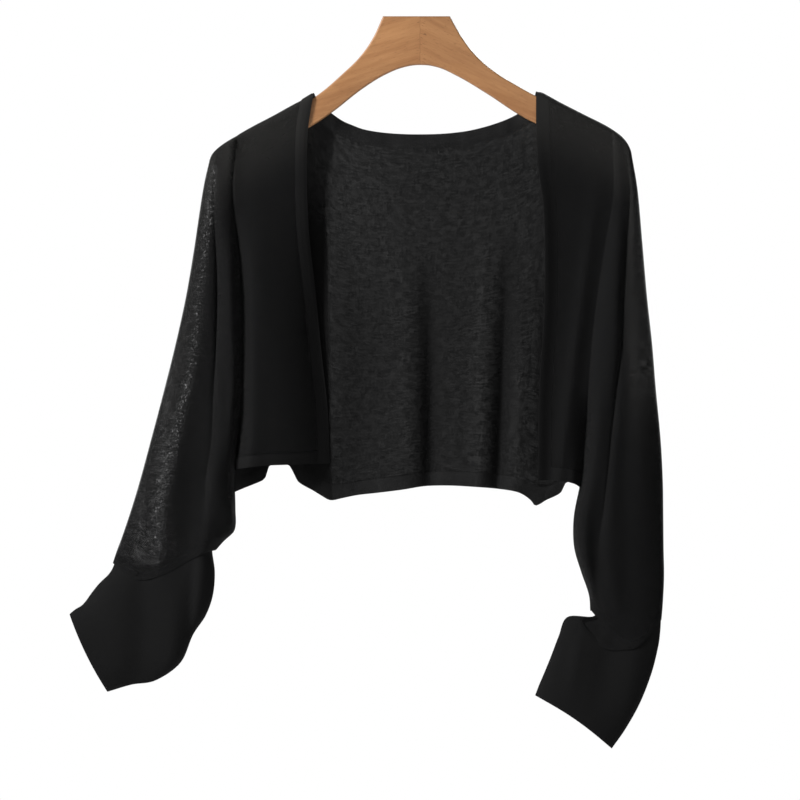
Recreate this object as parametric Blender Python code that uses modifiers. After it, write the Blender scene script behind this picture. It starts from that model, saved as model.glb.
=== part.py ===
"""Cropped open-front batwing cardigan in fine black knit, hanging on a flat wooden hanger.

The origin is the middle of the hanger's flat top, where it is held. X runs to the viewer's right, Y to the
back and Z up. Sizes below are in millimetres. "out" is the distance sideways from the middle, on the side
that a table belongs to, and "drop" is the distance below the hanger's top. Each cloth piece is a grid whose
points follow the tables, and Solidify gives it its wall, inwards from the outer face.
"""

import math
from collections import namedtuple

import bmesh
import bpy

MM = 0.001

# Walls and seams
CLOTH_WALL = 1.3
BAND_WALL = 1.8
BAND_PROUD = 0.4  # how far a band stands out of the panel beside it
PROUD_DEPTH = 3.0  # a band nearer the middle plane than this stands out less
GAP = 0.3  # between two pieces at a seam
HEM_GAP = 0.5  # between a panel and its hem band
RIDGE_HALF_GAP = 0.45  # between a piece's edge on the shoulder line and the middle plane
CLOSED_HALF_GAP = 0.5  # between a closed armhole seam and the middle plane
CORNER_CLEAR = 2.5  # between the neck band's end and the back panel's corner
SHOULDER_ARCH = 5.0  # drop in which the cloth turns over the hanger's arm
SECOND_ROW = 0.293  # share of that drop at which a grid has its second row
DOUBLES = 0.01  # grid points nearer than this are one point

# Widths of the plain bands
NECK_BAND = 14.5
HEM_BAND = 13.0
BACK_HEM_BAND = 15.0
SEAM_REACH = (-12, -6, 0, 6, 12)  # the back hem band's seam is the mean of the hem at these distances

# Underarm: the armhole closes between these two drops
UNDERARM_START = 368
UNDERARM = 415
LEAST_OPENING = 2.5  # a seam less deep than this is closed

# Roundness of ridges, of the sleeve's folded edge and of a cuff's two folded edges
RIDGE_POWER = 0.8
RIDGE_REACH = 0.45  # share of the outer ridge's width in which it rises from the valley
EDGE_POWER = 3.4
CUFF_POWER = 2.6
CUFF_BOW_POWER = 3  # how fast the bow of a cuff's opening fades up the cuff

# Lower end of a sleeve, where the drooping seam with the cuff shows
DROOP_LENGTH = 70.0
BACK_DROOP = 0.5  # share of the front wall's droop
BACK_FLATTER = 0.92  # share of the front wall's depth
BACK_VALLEY_START = 60.0  # the back wall's valley leaves the front's line in this length from the top
BACK_VALLEY_END = (460, 540)  # and comes back to it between these two drops

# Grid sizes
PANEL_COLUMNS = 10
PANEL_ROWS = 18
BAND_COLUMNS = 2
HEM_ROWS = 2
SHOULDER_COLUMNS = 5
NECK_COLUMNS = 18
NECK_STEP = 0.05  # step along the neck's table that gives its direction
CORNER_COLUMNS = 2  # neck columns that the back leaves out, where its neck seam leaves the shoulder
INNER_RIDGE_COLUMNS = 5
OUTER_RIDGE_COLUMNS = 7
SLEEVE_ROWS = 25
CUFF_HALF_COLUMNS = 9
CUFF_STEPS = 2  # grid rows to each row of a cuff's table
SHOULDER_TRIES = 8  # times that a column's place on the shoulder line is worked out again

# Hanger
HANGER_THICKNESS = 12.0
HANGER_ROUNDING = 2.0
HANGER_TOP_HALF = 33.5

KNIT_COLOUR = (0.012, 0.012, 0.013, 1)
PLAIN_COLOUR = (0.016, 0.016, 0.017, 1)
WOOD_COLOUR = (0.62, 0.42, 0.25, 1)

Point = namedtuple("Point", "x drop")
Shoulder = namedtuple("Shoulder", "out drop")
Edge = namedtuple("Edge", "drop out")
Hem = namedtuple("Hem", "out drop")
Drape = namedtuple("Drape", "drop edge crest seam")
Sleeve = namedtuple(
    "Sleeve", "down outer_out outer_drop inner_out inner_drop valley crest crease"
)
Cuff = namedtuple("Cuff", "outer_out outer_drop inner_out inner_drop depth")
Back = namedtuple("Back", "share chest waist hem")
Cut = namedtuple("Cut", "name columns rows out_at top bottom wall raised")
Side = namedtuple(
    "Side",
    "name sign band peak shoulder edge hem sleeve back_valley droop droop_power cuff"
    " cuff_bow",
)

# Depth of the front in front of the middle plane: at the front edge, on the ridge by the armhole, in the seam
DRAPE = (
    Drape(75, 8.0, 8.0, 8.0),
    Drape(130, 8.0, 8.4, 8.0),
    Drape(190, 8.0, 12.0, 8.2),
    Drape(240, 7.8, 17.0, 8.8),
    Drape(300, 7.4, 21.0, 9.0),
    Drape(370, 7.0, 23.0, 9.0),
    Drape(415, 6.8, 23.0, 9.0),
    Drape(480, 6.5, 21.0, 9.0),
)

# Depth of the back behind the middle plane, by share of its width from the left armhole to the right one
BACK_TOP = 8.0
BACK_LEVELS = (130, 210, 320, 450)
BACK = (
    Back(0.000, 10.0, 16.0, 17.0),
    Back(0.060, 12.0, 19.0, 20.0),
    Back(0.160, 10.0, 14.0, 13.0),
    Back(0.255, 7.5, 3.5, 1.5),
    Back(0.360, 8.0, 6.0, 7.0),
    Back(0.450, 8.0, 4.0, 2.0),
    Back(0.540, 8.0, 8.0, 9.0),
    Back(0.680, 8.0, 5.0, 3.0),
    Back(0.740, 8.0, 8.0, 8.5),
    Back(0.800, 8.0, 5.5, 3.0),
    Back(0.850, 8.0, 8.0, 8.0),
    Back(0.910, 9.5, 14.0, 14.0),
    Back(0.955, 11.0, 17.0, 17.0),
    Back(1.000, 10.0, 15.0, 15.0),
)
BACK_SEAM_SHARE = 0.06

NECK_EDGE = (
    Point(-102.5, 76.6),
    Point(-99.5, 82),
    Point(-92.5, 90),
    Point(-83.5, 97.5),
    Point(-74, 104),
    Point(-64, 108.4),
    Point(-52, 112.7),
    Point(-34, 115.7),
    Point(-14, 117.2),
    Point(6, 117.5),
    Point(26, 116.9),
    Point(46, 114.9),
    Point(61, 112),
    Point(76, 107.8),
    Point(91, 102.3),
    Point(103, 96),
    Point(112, 88),
    Point(117.5, 81.5),
    Point(119.5, 74.8),
)

BACK_HEM = (
    Point(-183, 476),
    Point(-174, 472.2),
    Point(-164, 468.3),
    Point(-154, 463.9),
    Point(-151.5, 461),
    Point(-148.5, 449.5),
    Point(-139, 448),
    Point(-129, 449),
    Point(-123.5, 457),
    Point(-119, 464.6),
    Point(-113, 469),
    Point(-104, 473.8),
    Point(-94, 479.8),
    Point(-88, 483.2),
    Point(-83, 483.7),
    Point(-74, 481.7),
    Point(-59, 478.7),
    Point(-39, 476.4),
    Point(-14, 473.2),
    Point(6, 470),
    Point(26, 469.1),
    Point(46, 469.7),
    Point(76, 472),
    Point(96, 474.5),
    Point(106, 477.7),
    Point(116, 484),
    Point(121, 489.1),
    Point(126, 487.6),
    Point(131, 484),
    Point(141, 479),
    Point(145.5, 475),
    Point(148, 466.5),
    Point(156, 466.5),
    Point(166, 470),
)

LEFT = Side(
    name="left",
    sign=-1,
    band=12.0,
    peak=0.82,
    shoulder=(
        Shoulder(0, 20),
        Shoulder(102.5, 76.6),
        Shoulder(116, 84.7),
        Shoulder(140, 98.5),
        Shoulder(164, 111),
        Shoulder(180, 119.5),
        Shoulder(190, 125.3),
        Shoulder(196, 129.5),
        Shoulder(201.2, 134),
        Shoulder(204.7, 138.3),
        Shoulder(206.8, 143),
    ),
    edge=(
        Edge(76.6, 102.5),
        Edge(90, 107.2),
        Edge(150, 109.5),
        Edge(215, 107.5),
        Edge(270, 101.5),
        Edge(330, 95.5),
        Edge(390, 89),
        Edge(448, 86.5),
    ),
    hem=(Hem(86, 447), Hem(120, 448), Hem(149, 448.8), Hem(165, 450.4), Hem(183, 453)),
    sleeve=(
        Sleeve(118.7, 206.8, 143, 178.5, 118.7, 0.62, 10, 10),
        Sleeve(173, 213.4, 173, 183.5, 173, 0.62, 11.5, 9.8),
        Sleeve(240, 223.6, 240, 177, 240, 0.49, 17, 9.5),
        Sleeve(284, 231.3, 284, 174.5, 284, 0.43, 20, 9.5),
        Sleeve(333, 242.2, 333, 174, 333, 0.385, 21, 9.5),
        Sleeve(383, 254.8, 383, 175, 383, 0.35, 21, 10),
        Sleeve(423, 265.4, 423, 178.5, 423, 0.30, 21, 11),
        Sleeve(462, 276.2, 463, 182, 461, 0.30, 21, 12),
        Sleeve(492, 284.9, 492, 181.5, 492, 0.29, 20, 13),
        Sleeve(517, 294.3, 520, 182.5, 514, 0.27, 19, 14.5),
        Sleeve(529, 299.2, 533, 193.0, 524.5, 0.24, 18.7, 15.8),
        Sleeve(541, 303.7, 546.5, 201.0, 533.5, 0.22, 18.5, 17),
    ),
    back_valley=0.52,
    droop=20.0,
    droop_power=1.6,
    cuff=(
        Cuff(296.0, 538.0, 204.5, 526.0, 9.5),
        Cuff(299.0, 548.5, 204.0, 537.0, 10.0),
        Cuff(307.5, 557.3, 201.6, 556.0, 11.0),
        Cuff(317.0, 566.6, 203.6, 579.0, 12.0),
        Cuff(324.5, 575.8, 211.0, 599.5, 13.0),
        Cuff(330.5, 584.2, 223.5, 618.4, 13.5),
        Cuff(335.0, 589.0, 236.0, 646.3, 13.0),
        Cuff(340.5, 592.3, 261.0, 664.0, 12.5),
        Cuff(344.0, 595.0, 285.0, 668.2, 12.2),
        Cuff(347.0, 597.6, 309.0, 675.3, 12.0),
    ),
    cuff_bow=2.2,
)

RIGHT = Side(
    name="right",
    sign=1,
    band=13.0,
    peak=0.72,
    shoulder=(
        Shoulder(0, 15),
        Shoulder(119.5, 74.8),
        Shoulder(125.5, 76),
        Shoulder(132, 79.4),
        Shoulder(144, 86),
        Shoulder(168, 98.3),
        Shoulder(184, 106.2),
        Shoulder(192, 110.6),
        Shoulder(200, 115.8),
        Shoulder(206, 120.7),
        Shoulder(211, 127),
        Shoulder(214.3, 134),
        Shoulder(215.4, 139.5),
    ),
    edge=(
        Edge(74.8, 119.5),
        Edge(110, 119.5),
        Edge(155, 122),
        Edge(190, 126.5),
        Edge(240, 128),
        Edge(300, 127),
        Edge(370, 122.5),
        Edge(464, 121),
    ),
    hem=(Hem(120, 463.5), Hem(145, 464.5), Hem(156, 467), Hem(161, 469.4), Hem(166, 473)),
    sleeve=(
        Sleeve(112.9, 215.4, 139.5, 195.5, 112.9, 0.65, 9.8, 9.8),
        Sleeve(175, 221.3, 175, 197, 175, 0.66, 11, 9.5),
        Sleeve(228, 226, 228, 188.5, 228, 0.57, 15, 9.5),
        Sleeve(281, 230.6, 281, 180, 281, 0.52, 18, 9.5),
        Sleeve(328, 235.7, 328, 174.5, 328, 0.49, 19.5, 9.5),
        Sleeve(372, 239.3, 372, 171.5, 372, 0.41, 20, 10),
        Sleeve(423, 244.1, 423, 168, 423, 0.34, 20, 11),
        Sleeve(464, 246.3, 464, 164.5, 464, 0.31, 20, 12),
        Sleeve(500, 246.8, 500, 157.8, 500, 0.31, 20, 13),
        Sleeve(531, 247.1, 532, 158, 530, 0.26, 20, 15),
        Sleeve(558, 247.6, 560, 165, 555, 0.20, 20, 17),
        Sleeve(580, 246.4, 586, 172.8, 578, 0.16, 20, 19),
        Sleeve(597, 245.0, 603, 174.2, 594, 0.12, 20, 20),
    ),
    back_valley=0.45,
    droop=34.0,
    droop_power=1.2,
    cuff=(
        Cuff(240.0, 590.0, 178.5, 585.0, 8.5),
        Cuff(240.7, 604.0, 177.5, 599.6, 8.8),
        Cuff(242.7, 617.0, 151.0, 600.3, 9.2),
        Cuff(241.6, 631.0, 142.0, 620.0, 10.5),
        Cuff(235.0, 657.0, 134.2, 640.5, 11.5),
        Cuff(223.5, 686.5, 127.0, 658.0, 12.0),
        Cuff(209.0, 712.5, 122.3, 669.0, 12.0),
        Cuff(195.3, 732.0, 118.6, 678.8, 12.0),
    ),
    cuff_bow=-3.2,
)

# Hanger outline, from the left end of its flat top round the left arm, the underside and the right arm
HANGER_OUTLINE = (
    Point(-37.4, 9),
    Point(-42, 19),
    Point(-54.8, 38.5),
    Point(-73.2, 57),
    Point(-102, 81),
    Point(-145, 104.8),
    Point(-183, 124.8),
    Point(-193, 132),
    Point(-195, 139),
    Point(-186, 144),
    Point(-150, 131),
    Point(-106.5, 110.5),
    Point(-84, 95.5),
    Point(-53, 71.5),
    Point(-29, 57),
    Point(-11, 50.3),
    Point(5, 48.4),
    Point(21, 50.7),
    Point(38.5, 58.3),
    Point(70, 76.8),
    Point(101.5, 97.5),
    Point(120, 107.5),
    Point(160, 124),
    Point(190, 135),
    Point(202, 134),
    Point(204, 126),
    Point(193, 114.5),
    Point(161, 98.7),
    Point(119, 79.5),
    Point(97, 67.3),
    Point(82, 58.2),
    Point(60.6, 40.5),
    Point(46, 22),
    Point(39, 10),
)


def mix(low, high, share):
    return low + (high - low) * share


def ease(share):
    """0 to 1 with a soft start and end."""
    share = min(max(share, 0.0), 1.0)
    return share * share * (3 - 2 * share)


def slope_at(rows, index, column):
    """How fast a column changes at a row, for each step of the table's first column."""
    low = rows[max(index - 1, 0)]
    high = rows[min(index + 1, len(rows) - 1)]
    return (high[column] - low[column]) / (high[0] - low[0])


def follow(rows, place):
    """A table's row at a place along its first column, on a smooth curve through its rows."""
    place = min(max(place, rows[0][0]), rows[-1][0])
    index = 0
    while index < len(rows) - 2 and place > rows[index + 1][0]:
        index += 1
    low = rows[index]
    high = rows[index + 1]
    width = high[0] - low[0]
    part = (place - low[0]) / width
    values = [place]
    for column in range(1, len(low)):
        start = slope_at(rows, index, column) * width
        end = slope_at(rows, index + 1, column) * width
        rise = high[column] - low[column]
        bend = start + end - 2 * rise
        lift = 3 * rise - 2 * start - end
        values.append(low[column] + part * (start + part * (lift + part * bend)))
    return type(low)(*values)


def thread(points, place):
    """A point at a place along a row of points, where 1 is one point further, on a smooth curve."""
    numbered = [(index, *point) for index, point in enumerate(points)]
    index = min(int(place), len(points) - 2)
    part = place - index
    values = []
    for column in (1, 2):
        start = slope_at(numbered, index, column)
        end = slope_at(numbered, index + 1, column)
        low = numbered[index][column]
        rise = numbered[index + 1][column] - low
        bend = start + end - 2 * rise
        lift = 3 * rise - 2 * start - end
        values.append(low + part * (start + part * (lift + part * bend)))
    return Point(*values)


def ridge_drop(side, out):
    return follow(side.shoulder, out).drop


def armhole_out(side, drop):
    return follow(side.sleeve, drop).inner_out


def seam_depth(drop):
    """Depth of the armhole seam, which closes to the middle plane at the underarm."""
    closed = ease((drop - UNDERARM_START) / (UNDERARM - UNDERARM_START))
    open_depth = follow(DRAPE, drop).seam * (1 - closed)
    return open_depth if open_depth > LEAST_OPENING else CLOSED_HALF_GAP


def shoulder_arch(below):
    """Share of the full depth that the cloth has reached at this drop below the shoulder line."""
    left = 1 - min(max(below, 0.0), SHOULDER_ARCH) / SHOULDER_ARCH
    return math.sqrt(1 - left * left)


def row_drop(top, bottom, row, rows):
    """Rows close together over the shoulder and even below it."""
    if row < 2:
        return top + SHOULDER_ARCH * SECOND_ROW * row
    return mix(top + SHOULDER_ARCH, bottom, (row - 2) / (rows - 2))


def world(x, depth, drop):
    return (x * MM, depth * MM, -drop * MM)


def front_depth(side, out, drop):
    """Depth of a front panel: flat at its front edge, with a ridge beside the armhole seam."""
    edge_out = follow(side.edge, drop).out
    share = (out - edge_out) / (armhole_out(side, drop) - edge_out)
    drape = follow(DRAPE, drop)
    if share < side.peak:
        return mix(drape.edge, drape.crest, ease(share / side.peak))
    part = min(max((1 - share) / (1 - side.peak), 0.0), 1.0)
    seam = seam_depth(drop)
    return mix(seam, drape.crest, math.sin(part * math.pi / 2) ** RIDGE_POWER)


def back_depth(x, drop):
    """Depth of the back: flat behind the hanger, with soft upright folds lower down."""
    left = -armhole_out(LEFT, drop)
    right = armhole_out(RIGHT, drop)
    share = min(max((x - left) / (right - left), 0.0), 1.0)
    fold = follow(BACK, share)
    chest, waist, hem = BACK_LEVELS[1:]
    levels = (
        (BACK_LEVELS[0], BACK_TOP),
        (chest, fold.chest),
        (waist, fold.waist),
        (hem, fold.hem),
    )
    place = min(max(drop, levels[0][0]), hem)
    index = 0
    while index < 2 and place > levels[index + 1][0]:
        index += 1
    low, high = levels[index], levels[index + 1]
    depth = mix(low[1], high[1], ease((place - low[0]) / (high[0] - low[0])))
    part = min(share, 1 - share) / BACK_SEAM_SHARE
    if part < 1:
        lift = math.sin(part * math.pi / 2) ** RIDGE_POWER
        depth = mix(seam_depth(drop), depth, lift)
    return depth


def proud(depth):
    """Depth of a band that stands a little out of the panel beside it, but not at a closed edge."""
    return depth + BAND_PROUD * min(1.0, depth / PROUD_DEPTH)


def sheet(name, columns, rows, place, wall, material):
    """A cloth wall: a grid whose points are put in place, with its doubles merged and its wall added."""
    grid = bmesh.new()
    bmesh.ops.create_grid(grid, x_segments=columns, y_segments=rows, size=0.5)
    for vertex in grid.verts:
        column = round((vertex.co.x + 0.5) * columns)
        row = round((0.5 - vertex.co.y) * rows)
        vertex.co = place(column, row)
    bmesh.ops.remove_doubles(grid, verts=grid.verts, dist=DOUBLES * MM)
    mesh = bpy.data.meshes.new(name)
    grid.to_mesh(mesh)
    grid.free()
    mesh.shade_smooth()
    mesh.materials.append(material)
    piece = bpy.data.objects.new(name, mesh)
    solidify = piece.modifiers.new("wall", "SOLIDIFY")
    solidify.thickness = wall * MM
    solidify.offset = -1
    solidify.thickness_clamp = 2
    return piece


def finish(name, colour, roughness):
    material = bpy.data.materials.new(name)
    material.use_nodes = True
    shader = material.node_tree.nodes["Principled BSDF"]
    shader.inputs["Base Color"].default_value = colour
    shader.inputs["Roughness"].default_value = roughness
    shader.inputs["Metallic"].default_value = 0
    return material


def panel_out(side, share, drop):
    """Out at a share of a front panel, from the band's seam to the armhole."""
    seam = follow(side.edge, drop).out + side.band + GAP
    return mix(seam, armhole_out(side, drop) - GAP / 2, math.sin(share * math.pi / 2))


def band_out(side, share, drop):
    """Out at a share of a front band, from the front edge to the panel's seam."""
    return follow(side.edge, drop).out + side.band * share


def shoulder_line(side, out_at, share):
    """Drop at which a column of a front piece meets the shoulder line."""
    drop = side.shoulder[1].drop
    for _ in range(SHOULDER_TRIES):
        drop = ridge_drop(side, out_at(side, share, drop))
    return drop


def hem_line(side, out_at, share, above):
    """Drop of a line this far above a column's hem."""
    edge = side.hem[-1].drop
    return follow(side.hem, out_at(side, share, edge)).drop - above


def front_piece(side, cut, material):
    """A front panel, band or hem. Its top is on the shoulder line where the cut gives no height."""
    from_shoulder = cut.top is None

    def place(column, row):
        share = column / cut.columns if side.sign > 0 else 1 - column / cut.columns
        bottom = hem_line(side, cut.out_at, share, cut.bottom)
        if from_shoulder:
            top = shoulder_line(side, cut.out_at, share)
            drop = row_drop(top, bottom, row, cut.rows)
            arch, least = shoulder_arch(drop - top), RIDGE_HALF_GAP
        else:
            top = hem_line(side, cut.out_at, share, cut.top)
            drop = mix(top, bottom, row / cut.rows)
            arch, least = 1, 0
        out = cut.out_at(side, share, drop)
        depth = front_depth(side, out, drop)
        if cut.raised:
            depth = proud(depth)
        return world(side.sign * out, -max(least, depth * arch), drop)

    name = f"{cut.name}_{side.name}"
    return sheet(name, cut.columns, cut.rows, place, cut.wall, material)


def make_fronts(side, knit, plain):
    """Front panel, front band and front hem of one side. Tops and bottoms are heights above the hem."""
    seam = HEM_BAND + HEM_GAP
    panel = Cut(
        "front", PANEL_COLUMNS, PANEL_ROWS, panel_out, None, seam, CLOTH_WALL, False
    )
    band = Cut(
        "band_front", BAND_COLUMNS, PANEL_ROWS, band_out, None, 0, BAND_WALL, True
    )
    hem = Cut(
        "hem_front", PANEL_COLUMNS, HEM_ROWS, panel_out, HEM_BAND, 0, BAND_WALL, True
    )
    return [
        front_piece(side, panel, knit),
        front_piece(side, band, plain),
        front_piece(side, hem, plain),
    ]


def neck_point(column, below):
    """A point this far below the back neck edge, square to it, at a column from left to right."""
    turn = (1 - math.cos(math.pi * column / NECK_COLUMNS)) / 2
    last = len(NECK_EDGE) - 1
    place = turn * last
    here = thread(NECK_EDGE, place)
    before = thread(NECK_EDGE, max(place - NECK_STEP, 0))
    after = thread(NECK_EDGE, min(place + NECK_STEP, last))
    run, fall = after.x - before.x, after.drop - before.drop
    length = math.hypot(run, fall)
    x = here.x - below * fall / length
    drop = here.drop + below * run / length
    side = LEFT if x < 0 else RIGHT
    under_ridge = here.drop - ridge_drop(side, abs(here.x))
    least = ridge_drop(side, abs(x)) + under_ridge
    if column in (0, NECK_COLUMNS):
        drop = least
    return Point(x, max(drop, least))


def back_place(x, drop, raised):
    side = LEFT if x < 0 else RIGHT
    depth = back_depth(x, drop)
    if raised:
        depth = proud(depth)
    arched = depth * shoulder_arch(drop - ridge_drop(side, abs(x)))
    return world(x, max(RIDGE_HALF_GAP, arched), drop)


def make_neck_band(material):
    def place(column, row):
        across = NECK_COLUMNS - column
        x, drop = neck_point(across, NECK_BAND * row / BAND_COLUMNS)
        return back_place(x, drop, True)

    return sheet("band_neck", NECK_COLUMNS, BAND_COLUMNS, place, BAND_WALL, material)


def back_tops():
    """Top point of each column of the back, from the left armhole to the right one."""
    tops = []
    for side, column in ((LEFT, 0), (RIGHT, NECK_COLUMNS)):
        corner = abs(neck_point(column, NECK_BAND + GAP).x) + CORNER_CLEAR
        reach = side.sleeve[0].inner_out - GAP / 2
        outer = []
        for step in range(SHOULDER_COLUMNS + 1):
            out = mix(reach, corner, step / SHOULDER_COLUMNS)
            outer.append(Point(side.sign * out, ridge_drop(side, out)))
        tops.append(outer)
    left, right = tops
    inside = range(CORNER_COLUMNS, NECK_COLUMNS + 1 - CORNER_COLUMNS)
    neck = [neck_point(column, NECK_BAND + GAP) for column in inside]
    return left + neck + right[::-1]


def across_back(top, drop):
    """X of a back column at a drop: it keeps its share of the width between the armholes."""
    first_left = -armhole_out(LEFT, top.drop) + GAP / 2
    first_right = armhole_out(RIGHT, top.drop) - GAP / 2
    share = (top.x - first_left) / (first_right - first_left)
    left = -armhole_out(LEFT, drop) + GAP / 2
    right = armhole_out(RIGHT, drop) - GAP / 2
    return mix(left, right, min(max(share, 0.0), 1.0))


def back_hem_drop(top):
    x = across_back(top, BACK_HEM[0].drop)
    return follow(BACK_HEM, x).drop


def back_seam_drop(top):
    """Drop of the hem band's seam, which runs more evenly than the hem itself."""
    x = across_back(top, BACK_HEM[0].drop)
    around = [follow(BACK_HEM, x + aside).drop for aside in SEAM_REACH]
    return sum(around) / len(around) - BACK_HEM_BAND


def make_back(material):
    tops = back_tops()[::-1]

    def place(column, row):
        top = tops[column]
        bottom = back_seam_drop(top) - HEM_GAP
        drop = row_drop(top.drop, bottom, row, PANEL_ROWS)
        return back_place(across_back(top, drop), drop, False)

    return sheet("back", len(tops) - 1, PANEL_ROWS, place, CLOTH_WALL, material)


def make_back_hem(material):
    tops = back_tops()[::-1]

    def place(column, row):
        top = tops[column]
        drop = mix(back_seam_drop(top), back_hem_drop(top), row / HEM_ROWS)
        return back_place(across_back(top, drop), drop, True)

    return sheet("hem_back", len(tops) - 1, HEM_ROWS, place, BAND_WALL, material)


def sleeve_share(valley, step):
    """Share of the sleeve's width, from the body to the folded edge, at a column of one wall."""
    if step <= INNER_RIDGE_COLUMNS:
        return valley * (1 - math.cos(math.pi * step / INNER_RIDGE_COLUMNS)) / 2
    part = (step - INNER_RIDGE_COLUMNS) / OUTER_RIDGE_COLUMNS
    part = (part + math.sin(part * math.pi / 2)) / 2
    return mix(valley, 1, part)


def own_valley(side, down):
    """Share by which the back wall's valley has its own line: none at the top and at the cuff."""
    start, end = BACK_VALLEY_END
    below = ease((down - side.sleeve[0].down) / BACK_VALLEY_START)
    return below * (1 - ease((down - start) / (end - start)))


def sleeve_depth(share, valley, row, seam):
    """Depth of one wall of the sleeve: a ridge beside the seam, a valley and a ridge to the fold."""
    if share < valley:
        part = share / valley
        floor = mix(seam, row.crease, part)
        return mix(floor, row.crest, math.sin(math.pi * part) ** RIDGE_POWER)
    part = min((share - valley) / (1 - valley), 1.0)
    climb = min(part / RIDGE_REACH, 1.0)
    full = mix(row.crease, row.crest, math.sin(climb * math.pi / 2) ** RIDGE_POWER)
    return full * math.sqrt(1 - part**EDGE_POWER)


def sleeve_point(side, share, row, droop):
    """Out and drop at a share of a sleeve section, with the shoulder line's and the end's curves."""
    out = mix(row.inner_out, row.outer_out, share)
    drop = mix(row.inner_drop, row.outer_drop, share)
    first, second = side.sleeve[0], side.sleeve[1]
    over = max(0.0, 1 - (row.down - first.down) / (second.down - first.down))
    if over:
        top_out = mix(first.inner_out, first.outer_out, share)
        top_drop = mix(first.inner_drop, first.outer_drop, share)
        drop += (ridge_drop(side, top_out) - top_drop) * over * over
    if droop:
        run, fall = row.outer_out - row.inner_out, row.outer_drop - row.inner_drop
        length = math.hypot(run, fall)
        sag = droop * math.sin(math.pi * share**side.droop_power)
        out -= sag * fall / length
        drop += sag * run / length
    return out, drop


def make_sleeve(side, material):
    half = INNER_RIDGE_COLUMNS + OUTER_RIDGE_COLUMNS
    first, last = side.sleeve[0].down, side.sleeve[-1].down

    def place(column, row):
        in_front = (column < half) == (side.sign > 0)
        step = column if column < half else 2 * half - column
        down = row_drop(first, last, row, SLEEVE_ROWS)
        section = follow(side.sleeve, down)
        valley = section.valley
        if not in_front:
            valley = mix(valley, side.back_valley, own_valley(side, down))
        share = sleeve_share(valley, step)
        near_end = ease(1 - (last - down) / DROOP_LENGTH) ** 2
        droop = side.droop * near_end * (1 if in_front else BACK_DROOP)
        out, drop = sleeve_point(side, share, section, droop)
        seam = seam_depth(down)
        if seam == CLOSED_HALF_GAP:
            seam = 0.0
        depth = sleeve_depth(share, valley, section, seam)
        depth *= shoulder_arch(down - first) * (1 if in_front else BACK_FLATTER)
        if step == 0:
            out += GAP / 2
            depth = seam * shoulder_arch(down - first)
        return world(side.sign * out, -depth if in_front else depth, drop)

    name = f"sleeve_{side.name}"
    return sheet(name, 2 * half, SLEEVE_ROWS, place, CLOTH_WALL, material)


def cuff_end(side, inner, outer, share, row, rows):
    """Sideways and downward shift of a point near the cuff's opening, whose edge is bowed."""
    run, fall = outer.x - inner.x, outer.drop - inner.drop
    bow = side.cuff_bow * math.sin(math.pi * share) * (row / rows) ** CUFF_BOW_POWER
    length = math.hypot(run, fall)
    return -bow * fall / length, bow * run / length


def make_cuff(side, material):
    half = CUFF_HALF_COLUMNS
    rows = CUFF_STEPS * (len(side.cuff) - 1)
    outer_line = [(row.outer_out, row.outer_drop) for row in side.cuff]
    inner_line = [(row.inner_out, row.inner_drop) for row in side.cuff]
    depths = [(row.depth, 0) for row in side.cuff]

    def place(column, row):
        in_front = (column < half) == (side.sign > 0)
        step = column if column < half else 2 * half - column
        share = (1 - math.cos(math.pi * step / half)) / 2
        outer = thread(outer_line, row / CUFF_STEPS)
        inner = thread(inner_line, row / CUFF_STEPS)
        aside, down = cuff_end(side, inner, outer, share, row, rows)
        out = mix(inner.x, outer.x, share) + aside
        drop = mix(inner.drop, outer.drop, share) + down
        middle = abs(2 * share - 1)
        thick = thread(depths, row / CUFF_STEPS).x
        depth = thick * math.sqrt(max(1 - middle**CUFF_POWER, 0.0))
        return world(side.sign * out, -depth if in_front else depth, drop)

    return sheet(f"cuff_{side.name}", 2 * half, rows, place, BAND_WALL, material)


def make_hanger(material):
    """A flat board with rounded edges, its outline drawn once round."""
    curve = bpy.data.curves.new("hanger", "CURVE")
    curve.dimensions = "2D"
    curve.fill_mode = "BOTH"
    curve.resolution_u = 2
    curve.extrude = (HANGER_THICKNESS / 2 - HANGER_ROUNDING) * MM
    curve.bevel_depth = HANGER_ROUNDING * MM
    curve.bevel_resolution = 1
    curve.offset = -HANGER_ROUNDING * MM
    flat_top = (Point(HANGER_TOP_HALF, 0), Point(-HANGER_TOP_HALF, 0))
    outline = flat_top + HANGER_OUTLINE
    line = curve.splines.new("BEZIER")
    line.bezier_points.add(len(outline) - 1)
    line.use_cyclic_u = True
    for corner, point in zip(line.bezier_points, outline):
        corner.co = (point.x * MM, -point.drop * MM, 0)
        is_top = point in flat_top
        corner.handle_left_type = "VECTOR" if is_top else "AUTO"
        corner.handle_right_type = "VECTOR" if is_top else "AUTO"
    curve.materials.append(material)
    hanger = bpy.data.objects.new("hanger", curve)
    hanger.rotation_euler = (math.pi / 2, 0, 0)
    return hanger


def main():
    for old in list(bpy.data.objects):
        bpy.data.objects.remove(old, do_unlink=True)
    knit = finish("black knit", KNIT_COLOUR, 0.85)
    plain = finish("black plain band", PLAIN_COLOUR, 0.75)
    wood = finish("pale wood", WOOD_COLOUR, 0.45)
    pieces = [make_hanger(wood), make_back(knit), make_neck_band(plain)]
    pieces.append(make_back_hem(plain))
    for side in (LEFT, RIGHT):
        pieces += make_fronts(side, knit, plain)
        pieces.append(make_sleeve(side, knit))
        pieces.append(make_cuff(side, plain))
    garment = bpy.data.collections.new("cropped cardigan on its hanger")
    bpy.context.scene.collection.children.link(garment)
    for piece in pieces:
        garment.objects.link(piece)


main()
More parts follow.
